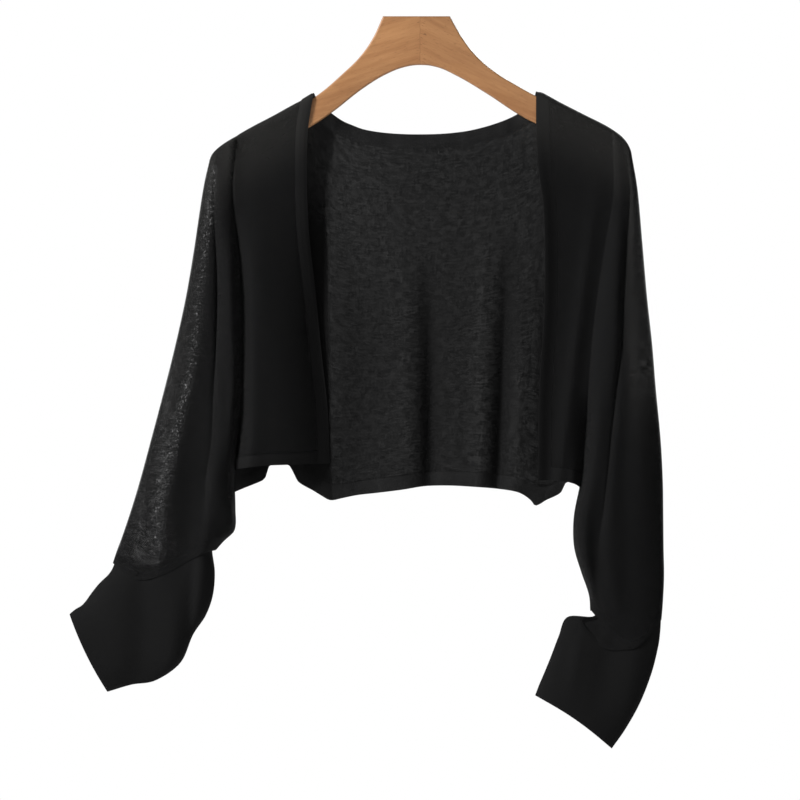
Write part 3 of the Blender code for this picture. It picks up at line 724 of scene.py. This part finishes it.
def panel_out(side, share, drop):
    """Out at a share of a front panel, from the band's seam to the armhole."""
    seam = follow(side.edge, drop).out + side.band + GAP
    return mix(seam, armhole_out(side, drop) - GAP / 2, (1 - math.cos(share * math.pi)) / 2)


def band_out(side, share, drop):
    """Out at a share of a front band, from the front edge to the panel's seam."""
    return follow(side.edge, drop).out + side.band * share


def shoulder_line(side, out_at, share):
    """Drop at which a column of a front piece meets the shoulder line."""
    drop = side.shoulder[1].drop
    for _ in range(SHOULDER_TRIES):
        drop = ridge_drop(side, out_at(side, share, drop))
    return drop


def hem_line(side, out_at, share, above):
    """Drop of a line this far above a column's hem."""
    edge = side.hem[-1].drop
    return follow(side.hem, out_at(side, share, edge)).drop - above


def even(share):
    """The same sheerness all over a piece."""
    return lambda x, drop: share


def front_piece(side, cut, cloth, sheer):
    """A front panel, band or hem. Its top is on the shoulder line where the cut gives no height."""
    shares = cut.shares if side.sign > 0 else [1 - share for share in cut.shares[::-1]]
    rows = len(cut.rows) - 1 if cut.top is not None else cut.rows
    lines = {}
    for share in shares:
        bottom = hem_line(side, cut.out_at, share, cut.bottom)
        if cut.top is None:
            lines[share] = shoulder_line(side, cut.out_at, share), bottom
        else:
            lines[share] = hem_line(side, cut.out_at, share, cut.top), bottom

    def place(column, row):
        share = shares[column]
        top, bottom = lines[share]
        if cut.top is None:
            drop = row_drop(top, bottom, row, rows)
            arch, least = shoulder_arch(drop - top), RIDGE_HALF_GAP
        else:
            drop = mix(top, bottom, cut.rows[row])
            arch, least = 1, 0
        out = cut.out_at(side, share, drop)
        depth = front_depth(side, out, drop)
        if cloth.raised:
            depth = proud(depth)
        return world(side.sign * out, -max(least, depth * arch), drop)

    sheet(f"{cut.name}_{side.name}", len(shares) - 1, rows, place, cloth, sheer)


def make_fronts(side, knit, plain):
    """Front panel, band and hem of one side. Tops and bottoms are heights above the hem."""
    shares = [column / FRONT_COLUMNS for column in range(FRONT_COLUMNS + 1)]
    seam = HEM_BAND + GAP
    panel = Cut("front", shares, FRONT_ROWS, panel_out, None, seam)
    band = Cut("band_front", BAND_SHARES, FRONT_ROWS, band_out, None, 0)
    hem = Cut("hem_front", shares, HEM_SHARES, panel_out, HEM_BAND, 0)
    front_piece(side, panel, knit, even(KNIT_SHEER))
    front_piece(side, band, plain, even(0.0))
    front_piece(side, hem, plain, even(0.0))


def neck_point(column, below):
    """A point this far below the back neck edge, square to it, at a column from left to right."""
    turn = (1 - math.cos(math.pi * column / NECK_COLUMNS)) / 2
    last = len(NECK_EDGE) - 1
    place = turn * last
    here = thread(NECK_EDGE, place)
    before = thread(NECK_EDGE, max(place - NECK_STEP, 0))
    after = thread(NECK_EDGE, min(place + NECK_STEP, last))
    x, drop = pushed(*here, after.x - before.x, after.drop - before.drop, below)
    side = LEFT if x < 0 else RIGHT
    under_ridge = here.drop - ridge_drop(side, abs(here.x))
    least = ridge_drop(side, abs(x)) + under_ridge
    if column in (0, NECK_COLUMNS):
        drop = least
    return Point(x, max(drop, least))


def back_place(x, drop, raised):
    side = LEFT if x < 0 else RIGHT
    depth = back_depth(x, drop)
    if raised:
        depth = proud(depth)
    arched = depth * shoulder_arch(drop - ridge_drop(side, abs(x)))
    return world(x, max(RIDGE_HALF_GAP, arched), drop)


def make_neck_band(plain):
    def place(column, row):
        x, drop = neck_point(NECK_COLUMNS - column, NECK_BAND * BAND_SHARES[row])
        return back_place(x, drop, True)

    rows = len(BAND_SHARES) - 1
    sheet("band_neck", NECK_COLUMNS, rows, place, plain, even(NECK_BAND_SHEER))


def back_tops():
    """Top point of each column of the back, from the left armhole to the right one."""
    tops = []
    for side, column in ((LEFT, 0), (RIGHT, NECK_COLUMNS)):
        corner = abs(neck_point(column, NECK_BAND + SHEER_GAP).x) + CORNER_CLEAR
        reach = side.sleeve[0].inner_out - GAP / 2
        outer = []
        for step in range(SHOULDER_COLUMNS + 1):
            out = mix(reach, corner, step / SHOULDER_COLUMNS)
            outer.append(Point(side.sign * out, ridge_drop(side, out)))
        tops.append(outer)
    left, right = tops
    inside = range(CORNER_COLUMNS, NECK_COLUMNS + 1 - CORNER_COLUMNS)
    neck = [neck_point(column, NECK_BAND + SHEER_GAP) for column in inside]
    return left + neck + right[::-1]


def back_sides(drop):
    """X of the back's left and right edges at a drop."""
    return -armhole_out(LEFT, drop) + GAP / 2, armhole_out(RIGHT, drop) - GAP / 2


def across_back(top, drop):
    """X of a back column at a drop: it keeps its share of the width between the armholes."""
    left, right = back_sides(top.drop)
    return mix(*back_sides(drop), clamp((top.x - left) / (right - left)))


def back_hem_drop(top):
    return follow(BACK_HEM, across_back(top, BACK_HEM[0].drop)).drop


def back_seam_drop(top):
    """Drop of the hem band's seam, which runs more evenly than the hem itself."""
    x = across_back(top, BACK_HEM[0].drop)
    around = [follow(BACK_HEM, x + aside).drop for aside in SEAM_REACH]
    return sum(around) / len(around) - BACK_HEM_BAND


def back_sheer(x, drop):
    """One layer lets light past, and the strip that lies double by the left front less."""
    single = beyond(x + follow(DOUBLE_STRIP, drop).out, STRIP_SOFTNESS)
    double = mix(DOUBLE_SHARE, 0.0, fade(drop, DOUBLE_FADE))
    return KNIT_SHEER * mix(double, 1, single) * max(0, 1 - folded(DENSITY, x, drop))


def back_hem_sheer(x, drop):
    return back_sheer(x, drop) / KNIT_SHEER * BACK_HEM_SHEER


def make_back(knit):
    tops = back_tops()[::-1]
    bottoms = [back_seam_drop(top) - SHEER_GAP for top in tops]

    def place(column, row):
        top = tops[column]
        drop = row_drop(top.drop, bottoms[column], row, BACK_ROWS)
        return back_place(across_back(top, drop), drop, False)

    sheet("back", len(tops) - 1, BACK_ROWS, place, knit, back_sheer)


def make_back_hem(plain):
    tops = back_tops()[::-1]
    lines = [(back_seam_drop(top), back_hem_drop(top)) for top in tops]

    def place(column, row):
        drop = mix(*lines[column], HEM_SHARES[row])
        return back_place(across_back(tops[column], drop), drop, True)

    sheet("hem_back", len(tops) - 1, len(HEM_SHARES) - 1, place, plain, back_hem_sheer)


def sleeve_share(valley, step):
    """Share of the sleeve's width, from the body to the folded edge, at a column of one wall."""
    if step <= INNER_RIDGE_COLUMNS:
        return valley * (1 - math.cos(math.pi * step / INNER_RIDGE_COLUMNS)) / 2
    part = (step - INNER_RIDGE_COLUMNS) / OUTER_RIDGE_COLUMNS
    part = (part + math.sin(part * math.pi / 2)) / 2
    return mix(valley, 1, part)


def own_valley(side, down):
    """Share by which the back wall's valley has its own line: none at the top and at the cuff."""
    start, end = BACK_VALLEY_END
    below = ease((down - side.sleeve[0].down) / BACK_VALLEY_START)
    return below * (1 - ease((down - start) / (end - start)))


def sleeve_depth(share, valley, row, seam):
    """Depth of a sleeve's wall: a ridge beside the seam, a valley and a ridge to the fold."""
    if share < valley:
        part = share / valley
        floor = mix(seam, row.crease, part)
        return mix(floor, row.crest, math.sin(math.pi * part) ** RIDGE_POWER)
    part = min((share - valley) / (1 - valley), 1.0)
    climb = min(part / RIDGE_REACH, 1.0)
    full = mix(row.crease, row.crest, math.sin(climb * math.pi / 2) ** RIDGE_POWER)
    return full * math.sqrt(1 - part**EDGE_POWER)


def sleeve_point(side, share, row, droop):
    """Out and drop at a share of a sleeve section, with the curves of the sleeve's two ends."""
    out = mix(row.inner_out, row.outer_out, share)
    drop = mix(row.inner_drop, row.outer_drop, share)
    first, second = side.sleeve[0], side.sleeve[1]
    over = max(0.0, 1 - (row.down - first.down) / (second.down - first.down))
    if over:
        top_out = mix(first.inner_out, first.outer_out, share)
        top_drop = mix(first.inner_drop, first.outer_drop, share)
        drop += (ridge_drop(side, top_out) - top_drop) * over * over
    if droop:
        run, fall = row.outer_out - row.inner_out, row.outer_drop - row.inner_drop
        sag = droop * math.sin(math.pi * share**side.droop_power)
        out, drop = pushed(out, drop, run, fall, sag)
    return out, drop


def cuff_point(side, share, place):
    """Out, depth and drop of a cuff's wall at a share of its width and a place down its table."""
    row = thread(side.cuff, place)
    run, fall = row.outer_out - row.inner_out, row.outer_drop - row.inner_drop
    along = place / (len(side.cuff) - 1)
    bow = side.cuff_bow * math.sin(math.pi * share) * along**CUFF_BOW_POWER
    out = mix(row.inner_out, row.outer_out, share)
    drop = mix(row.inner_drop, row.outer_drop, share)
    out, drop = pushed(out, drop, run, fall, bow)
    depth = row.depth * math.sqrt(max(1 - abs(2 * share - 1) ** CUFF_POWER, 0.0))
    return out, depth, drop


def cuff_place(side, share, drop):
    """The place down a cuff's table at which its wall is at this drop."""
    low, high = 0.0, len(side.cuff) - 1.0
    for _ in range(CUFF_TRIES):
        middle = (low + high) / 2
        if cuff_point(side, share, middle)[2] < drop:
            low = middle
        else:
            high = middle
    return low


def sleeve_end_drop(side, share):
    """Drop of a sleeve's lower end, which droops over its cuff."""
    return sleeve_point(side, share, side.sleeve[-1], side.droop)[1]


def above_cuff(side, x, drop):
    """0 at a sleeve's lower end, where its seam allowance lies behind it, and 1 above that."""
    end = side.sleeve[-1]
    share = clamp((abs(x) - end.inner_out) / (end.outer_out - end.inner_out))
    return ease((sleeve_end_drop(side, share) - drop - SEAM_TURN) / SEAM_ALLOWANCE)


def left_outer(x, drop):
    """1 in the outer part of the left sleeve."""
    return beyond(-x - follow(OUTER_ZONE, drop).out, OUTER_SOFTNESS)


def left_sleeve_sheer(x, drop):
    zone = left_outer(x, drop) * fade(drop, LEFT_SHEER_TOP)
    return mix(KNIT_SHEER, OUTER_SHEER, zone) * above_cuff(LEFT, x, drop)


def right_sleeve_sheer(x, drop):
    row = follow(RIGHT.sleeve, drop)
    line = mix(row.outer_out, row.inner_out, RIGHT_ZONE_SHARE)
    zone = beyond(x - line, RIGHT_SOFTNESS) * fade(drop, RIGHT_SHEER_TOP)
    zone *= fade(drop, RIGHT_SHEER_END)
    return mix(KNIT_SHEER, OUTER_SHEER, zone) * above_cuff(RIGHT, x, drop)


def painted_highlight_share(x, drop):
    """1 where the painted highlight is strongest, along the shoulder over the hanger's arm; less of
    it in the sleeves' outer parts.
    """
    side = LEFT if x < 0 else RIGHT
    below = drop - ridge_drop(side, min(abs(x), side.shoulder[-1].out))
    shoulder = fade(below, ARM_FADE) * fade(abs(x), ARM_START)
    if x > 0:
        outer = RIGHT_LIGHTER * fade(x, RIGHT_LIGHTER_EDGE)
        outer *= fade(drop, RIGHT_LIGHTER_TOP) * fade(drop, RIGHT_LIGHTER_END)
    else:
        outer = LEFT_LIGHTER * left_outer(x, drop)
        outer *= fade(drop, LEFT_LIGHTER_TOP) * fade(drop, LEFT_LIGHTER_END)
    return max(shoulder, outer)


def tube_column(side, half, column):
    """Whether a column of a tube's grid is in front, and its step from the body outwards."""
    in_front = (column < half) == (side.sign > 0)
    return in_front, column if column < half else 2 * half - column


def make_sleeve(side, knit):
    half = INNER_RIDGE_COLUMNS + OUTER_RIDGE_COLUMNS
    first, last = side.sleeve[0].down, side.sleeve[-1].down
    rows = [row_drop(first, last, row, SLEEVE_ROWS) for row in range(SLEEVE_ROWS + 1)]
    sections = [follow(side.sleeve, down) for down in rows]

    def wall_point(in_front, step, row):
        down, section = rows[row], sections[row]
        valley = section.valley
        if not in_front:
            valley = mix(valley, side.back_valley, own_valley(side, down))
        share = sleeve_share(valley, step)
        near_end = ease(1 - (last - down) / DROOP_LENGTH) ** 2
        out, drop = sleeve_point(side, share, section, side.droop * near_end)
        seam = seam_depth(down)
        if seam == CLOSED_HALF_GAP:
            seam = 0.0
        flatter = 1 if in_front else mix(1, BACK_FLATTER, min(share * FLATTER_FROM, 1.0))
        depth = sleeve_depth(share, valley, section, seam) * flatter
        settled = ease(1 - (last - down) / SETTLE_LENGTH)
        if settled:
            below = cuff_point(side, share, cuff_place(side, share, drop))[1]
            depth = mix(depth, below + SETTLE_STEP * min(below / FOLD_CLEAR, 1), settled)
        depth = creased(side, in_front, out, depth, drop)
        if step == 0:
            out += GAP / 2
        return share, out, depth * shoulder_arch(down - first), drop

    def place(column, row):
        in_front, step = tube_column(side, half, column)
        share, out, depth, drop = wall_point(in_front, step, min(row, SLEEVE_ROWS))
        if row > SLEEVE_ROWS:
            turned = (row - SLEEVE_ROWS) / TURN_ROWS
            cuff_out, cuff_depth, _ = cuff_point(side, share, cuff_place(side, share, drop))
            out = mix(out, cuff_out, ease(turned))
            depth = mix(depth, cuff_depth - TURN_UNDER * min(cuff_depth / FOLD_CLEAR, 1), turned)
            drop += TURN_SAG * turned
        return world(side.sign * out, -depth if in_front else depth, drop)

    sheer = left_sleeve_sheer if side is LEFT else right_sleeve_sheer
    sheet(f"sleeve_{side.name}", 2 * half, SLEEVE_ROWS + TURN_ROWS, place, knit, sheer)


def make_cuff(side, plain):
    half = CUFF_HALF_COLUMNS
    last = len(side.cuff) - 1
    rows = CUFF_STEPS * last
    starts = []
    for step in range(half + 1):
        share = (1 - math.cos(math.pi * step / half)) / 2
        top = sleeve_end_drop(side, share) - CUFF_TUCK
        starts.append((share, cuff_place(side, share, top)))

    def place(column, row):
        in_front, step = tube_column(side, half, column)
        share, start = starts[step]
        out, depth, drop = cuff_point(side, share, mix(start, last, row / rows))
        recess = CUFF_RECESS * max(0.0, 1 - row / CUFF_RECESS_ROWS)
        depth = creased(side, in_front, out, depth - recess * ease(depth / FOLD_CLEAR), drop)
        return world(side.sign * out, -depth if in_front else depth, drop)

    sheet(f"cuff_{side.name}", 2 * half, rows, place, plain, even(0.0))


def outline_mesh():
    """The hanger's outline, drawn as a smooth closed curve and made a wire of edges."""
    bpy.ops.curve.primitive_bezier_circle_add(radius=HANGER_TOP_HALF * MM, location=(0, 0, 0))
    curve = bpy.context.object.data
    curve.dimensions = "2D"
    curve.fill_mode = "NONE"
    curve.resolution_u = OUTLINE_STEPS
    flat_top = table(Point, (HANGER_TOP_HALF, 0), (-HANGER_TOP_HALF, 0))
    outline = flat_top + HANGER_OUTLINE
    line = curve.splines[0]
    line.bezier_points.add(len(outline) - len(line.bezier_points))
    for corner, point in zip(line.bezier_points, outline):
        corner.co = (point.x * MM, -point.drop * MM, 0)
        kind = "VECTOR" if point in flat_top else "AUTO"
        corner.handle_left_type = kind
        corner.handle_right_type = kind
    bpy.context.object.rotation_euler = (math.pi / 2, 0, 0)
    bpy.ops.object.convert(target="MESH")
    bpy.ops.object.transform_apply(location=True, rotation=True, scale=True)
    return bpy.context.object


def make_hanger(material):
    """A flat board cut to the outline, with all its edges rounded."""
    bpy.ops.object.select_all(action="DESELECT")
    hanger = outline_mesh()
    hanger.name = "wooden_hanger"
    bpy.ops.object.mode_set(mode="EDIT")
    bpy.ops.mesh.select_all(action="SELECT")
    bpy.ops.mesh.remove_doubles(threshold=0.05 * MM)
    bpy.ops.mesh.edge_face_add()
    bpy.ops.transform.translate(value=(0, -HANGER_THICKNESS / 2 * MM, 0))
    thickness = (0, HANGER_THICKNESS * MM, 0)
    bpy.ops.mesh.extrude_region_move(TRANSFORM_OT_translate={"value": thickness})
    bpy.ops.mesh.select_all(action="SELECT")
    bpy.ops.mesh.normals_make_consistent(inside=False)
    bpy.ops.mesh.select_all(action="DESELECT")
    bpy.ops.object.mode_set(mode="OBJECT")
    mesh = hanger.data
    bpy.context.tool_settings.mesh_select_mode = (False, False, True)
    for face in mesh.polygons:
        face.select = abs(face.normal.y) > FACING
    bpy.ops.object.mode_set(mode="EDIT")
    bpy.ops.mesh.region_to_loop()
    bpy.ops.mesh.bevel(offset=HANGER_ROUNDING * MM, segments=ROUNDING_STEPS, affect="EDGES")
    bpy.ops.mesh.select_all(action="DESELECT")
    bpy.ops.object.mode_set(mode="OBJECT")
    bpy.ops.object.select_all(action="DESELECT")
    hanger.select_set(True)
    bpy.ops.object.shade_smooth_by_angle(angle=SHARP_ANGLE)
    mesh.materials.clear()
    mesh.materials.append(material)
    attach(hanger, "root")
    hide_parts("hanger")


class Nodes:
    """Adds nodes to a tree, whose inputs are numbers, colours or other nodes' outputs."""

    def __init__(self, tree):
        self.tree = tree

    def put(self, value, socket):
        """Give an input its value, or join another node's output to it."""
        if isinstance(value, bpy.types.NodeSocket):
            self.tree.links.new(value, socket)
        else:
            socket.default_value = value

    def fill(self, node, inputs):
        for key, value in inputs.items():
            self.put(value, node.inputs[key])

    def add(self, kind, inputs=(), **settings):
        node = self.tree.nodes.new(kind)
        for name, value in settings.items():
            setattr(node, name, value)
        self.fill(node, dict(inputs))
        return node

    def math(self, operation, *values):
        inputs = dict(enumerate(values))
        return self.add("ShaderNodeMath", inputs, operation=operation).outputs[0]

    def plus(self, first, second):
        return self.math("ADD", first, second)

    def minus(self, first, second):
        return self.math("SUBTRACT", first, second)

    def times(self, first, second):
        return self.math("MULTIPLY", first, second)

    def off(self, value, middle):
        """How far a value is from the middle, either way."""
        return self.math("ABSOLUTE", self.minus(value, middle))

    def ramp(self, value, low, high, out_low=0.0, out_high=1.0):
        """A value stretched from low..high to out_low..out_high, with soft ends."""
        inputs = {0: value, 1: low, 2: high, 3: out_low, 4: out_high}
        return self.add("ShaderNodeMapRange", inputs, interpolation_type="SMOOTHSTEP").outputs[0]

    def noise(self, place, cells, detail=2.0, roughness=0.5, distortion=0.0, turn=0.0):
        """Noise with this many cells to a metre along each axis."""
        inputs = {"Vector": place, "Scale": cells, "Rotation": (0, 0, turn)}
        inputs = {"Vector": self.add("ShaderNodeMapping", inputs).outputs[0], "Scale": 1.0}
        inputs.update(Detail=detail, Roughness=roughness, Distortion=distortion)
        return self.add("ShaderNodeTexNoise", inputs).outputs["Fac"]

    def share(self, name):
        """One of the cloth's own shares."""
        return self.add("ShaderNodeAttribute", attribute_name=name).outputs["Fac"]

    def bump(self, **inputs):
        return self.add("ShaderNodeBump", inputs).outputs[0]

    def colour(self, share, first, second):
        node = self.add("ShaderNodeMix", data_type="RGBA")
        sockets = {socket.identifier: socket for socket in node.inputs}
        for key, value in (("Factor_Float", share), ("A_Color", first), ("B_Color", second)):
            self.put(value, sockets[key])
        return next(socket for socket in node.outputs if socket.identifier == "Result_Color")


def fine_knit_effect():
    """Plain stitches in wales and courses, the gaps between them, and the uneven density."""
    tree = bpy.data.node_groups.new("fine knit", "ShaderNodeTree")
    for title, kind in (("Cloth", "Vector"), ("Wale", "Float"), ("Course", "Float")):
        tree.interface.new_socket(title, in_out="INPUT", socket_type=f"NodeSocket{kind}")
    for title in ("Loops", "Gaps", "Slub", "Specks"):
        tree.interface.new_socket(title, in_out="OUTPUT", socket_type="NodeSocketFloat")
    nodes = Nodes(tree)
    given, made = nodes.add("NodeGroupInput").outputs, nodes.add("NodeGroupOutput").inputs
    cloth = given["Cloth"]
    spot = nodes.add("ShaderNodeSeparateXYZ", {0: cloth}).outputs
    across = nodes.math("DIVIDE", spot["X"], given["Wale"])
    along = nodes.math("DIVIDE", spot["Y"], given["Course"])
    off_middle = nodes.off(nodes.math("FRACT", across), 0.5)
    leaning = nodes.math("FRACT", nodes.minus(along, off_middle))
    leg_height = nodes.minus(1.0, nodes.times(nodes.off(off_middle, 0.25), 4.0))
    row_height = nodes.minus(1.0, nodes.times(nodes.off(leaning, 0.5), 2.0))
    loops = nodes.math("SQRT", nodes.times(leg_height, row_height))
    nodes.put(loops, made["Loops"])
    nodes.put(nodes.ramp(loops, 0.45, 0.1), made["Gaps"])
    upright = nodes.noise(cloth, (500, 120, 1), 2.0, 0.6)
    level = nodes.noise(cloth, (130, 560, 1), 2.0, 0.6)
    patches = nodes.ramp(nodes.noise(cloth, (60, 80, 1), 1.0), 0.4, 0.62)
    soft = nodes.noise(cloth, (110, 150, 1))
    both = nodes.plus(nodes.times(upright, 0.4), nodes.times(level, 0.6))
    fine = nodes.times(nodes.minus(both, 0.5), nodes.plus(0.6, patches))
    slub = nodes.plus(fine, nodes.times(soft, 0.45))
    nodes.put(nodes.ramp(slub, 0.03, 0.42), made["Slub"])
    specks = nodes.noise(cloth, (540, 380, 1), 1.0, turn=0.5)
    nodes.put(nodes.ramp(specks, 0.57, 0.68), made["Specks"])
    return tree


def new_material(name):
    """A material, with the nodes of its tree and its shader."""
    material = bpy.data.materials.new(name)
    material.use_nodes = True
    return material, Nodes(material.node_tree), material.node_tree.nodes["Principled BSDF"]


def stitched(nodes, stitches, wale, course):
    """A point's place on its cloth, and the outputs of the fine-knit effect there."""
    cloth = nodes.add("ShaderNodeUVMap", uv_map="cloth").outputs[0]
    inputs = {"Cloth": cloth, "Wale": wale, "Course": course}
    return cloth, nodes.add("ShaderNodeGroup", inputs, node_tree=stitches).outputs


def knit_material(stitches):
    """Black knit: stitches and fuzz in its height, uneven yarn, and light between the stitches."""
    material, nodes, shader = new_material("fine black knit")
    cloth, knit = stitched(nodes, stitches, FINE_WALE, FINE_COURSE)
    shade = nodes.plus(nodes.times(knit["Loops"], 0.45), nodes.times(knit["Slub"], 0.55))
    yarn = nodes.colour(shade, KNIT_DARK, KNIT_LIGHT)
    # painted shade: the inside of the back is darkened, where the fronts shade it
    yarn = nodes.colour(nodes.times(nodes.share("inside"), 0.5), yarn, PAINTED_SHADE_INSIDE_BACK)
    hairs = nodes.noise(cloth, (1600, 900, 1), 2.0, 0.7)
    fuzz = nodes.bump(Height=hairs, Distance=FUZZ_HEIGHT, Strength=0.6)
    loops = {"Height": knit["Loops"], "Distance": FINE_STITCH_HEIGHT, "Strength": 0.8}
    uneven = nodes.plus(nodes.times(knit["Slub"], 0.75), nodes.times(knit["Gaps"], 0.9))
    passed = nodes.times(nodes.share("sheer"), nodes.plus(0.45, uneven))
    opened = nodes.times(nodes.times(nodes.share("stretched"), knit["Specks"]), 0.42)
    looks = {
        # painted highlight: the colour is made paler on the shoulders and the sleeves' outer parts
        "Base Color": nodes.colour(nodes.share("painted_highlight"), yarn, PAINTED_HIGHLIGHT_COLOUR),
        "Roughness": nodes.ramp(knit["Slub"], 0.0, 1.0, 0.72, 0.9),
        "Normal": nodes.bump(**loops, Normal=fuzz),
        "Alpha": nodes.minus(1.0, nodes.plus(passed, opened)),
    }
    nodes.fill(shader, looks | BLACK_YARN)
    return material


def plain_material(stitches):
    """Bands, hems and cuffs: the same yarn in a closer, smoother knit that lets less light past."""
    material, nodes, shader = new_material("black plain band")
    cloth, knit = stitched(nodes, stitches, PLAIN_WALE, PLAIN_COURSE)
    soft = nodes.noise(cloth, (60, 24, 1))
    shade = nodes.plus(nodes.times(knit["Loops"], 0.4), nodes.times(soft, 0.6))
    yarn = nodes.colour(shade, PLAIN_DARK, PLAIN_LIGHT)
    passed = nodes.times(nodes.share("sheer"), nodes.plus(0.4, nodes.times(soft, 1.2)))
    looks = {
        # painted highlight: the colour is made paler on the shoulders and the sleeves' outer parts
        "Base Color": nodes.colour(nodes.share("painted_highlight"), yarn, PAINTED_HIGHLIGHT_COLOUR),
        "Roughness": nodes.ramp(soft, 0.3, 0.7, 0.68, 0.8),
        "Normal": nodes.bump(Height=knit["Loops"], Distance=PLAIN_STITCH_HEIGHT, Strength=0.6),
        "Alpha": nodes.minus(1.0, passed),
    }
    nodes.fill(shader, looks | BLACK_YARN)
    return material


def wood_material():
    """Pale beech under satin lacquer, with its grain down each arm from the joint in the middle."""
    material, nodes, shader = new_material("pale beech")
    spot = nodes.add("ShaderNodeTexCoord").outputs["Object"]
    axes = nodes.add("ShaderNodeSeparateXYZ", {0: spot}).outputs
    aside = nodes.minus(axes["X"], JOINT_X)
    right = nodes.math("GREATER_THAN", aside, 0.0)
    mirrored = {0: nodes.math("ABSOLUTE", aside), 1: axes["Z"], 2: axes["Y"]}
    turn = {
        "Vector": nodes.add("ShaderNodeCombineXYZ", mirrored).outputs[0],
        "Axis": (0, 0, 1),
        "Angle": nodes.plus(LEFT_GRAIN_TURN, nodes.times(right, RIGHT_GRAIN_TURN)),
    }
    shift = {axis: nodes.times(right, length) for axis, length in enumerate(RIGHT_WOOD)}
    both = {
        0: nodes.add("ShaderNodeVectorRotate", turn).outputs[0],
        1: nodes.add("ShaderNodeCombineXYZ", shift).outputs[0],
    }
    grain = nodes.add("ShaderNodeVectorMath", both, operation="ADD").outputs[0]
    wave = nodes.noise(grain, (7, 60, 20), 3.0, 0.55, 0.6)
    streak = nodes.noise(grain, (30, 420, 60), 3.0, 0.6)
    flecks = nodes.ramp(nodes.noise(grain, (190, 1300, 300), 1.0), 0.62, 0.72)
    near_joint = nodes.ramp(nodes.off(aside, 0.002), 0.009, 0.001)
    ripple = nodes.noise(spot, (1, 1, 120), 1.0)
    wander = nodes.times(nodes.minus(ripple, 0.5), JOINT_WANDER)
    joint = nodes.ramp(nodes.off(aside, wander), 0.0007, 0.0001)
    tone = nodes.plus(nodes.times(wave, 0.6), nodes.times(streak, 0.4))
    base = nodes.colour(nodes.ramp(tone, 0.3, 0.7), BEECH_DARK, BEECH_LIGHT)
    dark = nodes.times(flecks, nodes.plus(0.35, nodes.times(near_joint, 0.5)))
    dark = nodes.math("MAXIMUM", dark, nodes.times(joint, 0.3))
    height = nodes.minus(streak, flecks)
    looks = {
        "Base Color": nodes.colour(dark, base, BEECH_FLECK),
        "Roughness": nodes.ramp(streak, 0.3, 0.7, 0.4, 0.52),
        "Normal": nodes.bump(Height=height, Distance=GRAIN_HEIGHT, Strength=0.5),
        "Coat Weight": 0.1,
        "Coat Roughness": 0.25,
        "Specular IOR Level": 0.35,
    }
    nodes.fill(shader, looks)
    return material


def make_lamp(lamp):
    light = bpy.data.lights.new(lamp.name, "AREA")
    light.shape = "DISK"
    light.size = lamp.width
    light.energy = lamp.power
    piece = add_object(lamp.name, light)
    piece.location = lamp.place
    piece.rotation_euler = (LAMP_AIM - piece.location).to_track_quat("-Z", "Y").to_euler()


def make_studio():
    """A pale floor well below, a white room, and soft light from the left, the front and behind."""
    bpy.ops.mesh.primitive_plane_add(size=FLOOR_SIZE, location=(0, 0, -FLOOR_DROP))
    floor = bpy.context.object
    floor.name = "floor"
    material, nodes, shader = new_material("pale floor")
    nodes.fill(shader, {"Base Color": FLOOR_COLOUR, "Roughness": 0.8})
    floor.data.materials.append(material)
    world = bpy.data.worlds.new("white studio")
    world.use_nodes = True
    bpy.context.scene.world = world
    nodes = Nodes(world.node_tree)
    soft = world.node_tree.nodes["Background"]
    nodes.fill(soft, {"Color": WHITE, "Strength": ROOM_LIGHT})
    seen = nodes.add("ShaderNodeBackground", {"Color": WHITE, "Strength": 1.0})
    straight = nodes.add("ShaderNodeLightPath").outputs["Is Camera Ray"]
    inputs = {0: straight, 1: soft.outputs[0], 2: seen.outputs[0]}
    choice = nodes.add("ShaderNodeMixShader", inputs)
    nodes.put(choice.outputs[0], world.node_tree.nodes["World Output"].inputs[0])
    for lamp in LAMPS:
        make_lamp(lamp)
    bpy.context.scene.view_settings.view_transform = "Standard"


def make_camera():
    camera = bpy.data.cameras.new("camera")
    camera.sensor_width = SENSOR_WIDTH
    camera.lens = SENSOR_WIDTH * CAMERA_DISTANCE / FRAME_WIDTH
    camera.clip_end = FAR
    viewer = add_object("camera", camera)
    viewer.location = (FRAME_CENTRE[0], -CAMERA_DISTANCE, FRAME_CENTRE[1])
    viewer.rotation_euler = (math.pi / 2, 0, 0)
    bpy.context.scene.camera = viewer


make_camera()
make_studio()
stitches = fine_knit_effect()
knit = Cloth(knit_material(stitches), "knit", KNIT_WALL, False)
plain = Cloth(plain_material(stitches), "plain_band", BAND_WALL, True)
make_hanger(wood_material())

make_back(knit)
make_neck_band(plain)
make_back_hem(plain)
for side in (LEFT, RIGHT):
    make_fronts(side, knit, plain)
    make_sleeve(side, knit)
    make_cuff(side, plain)
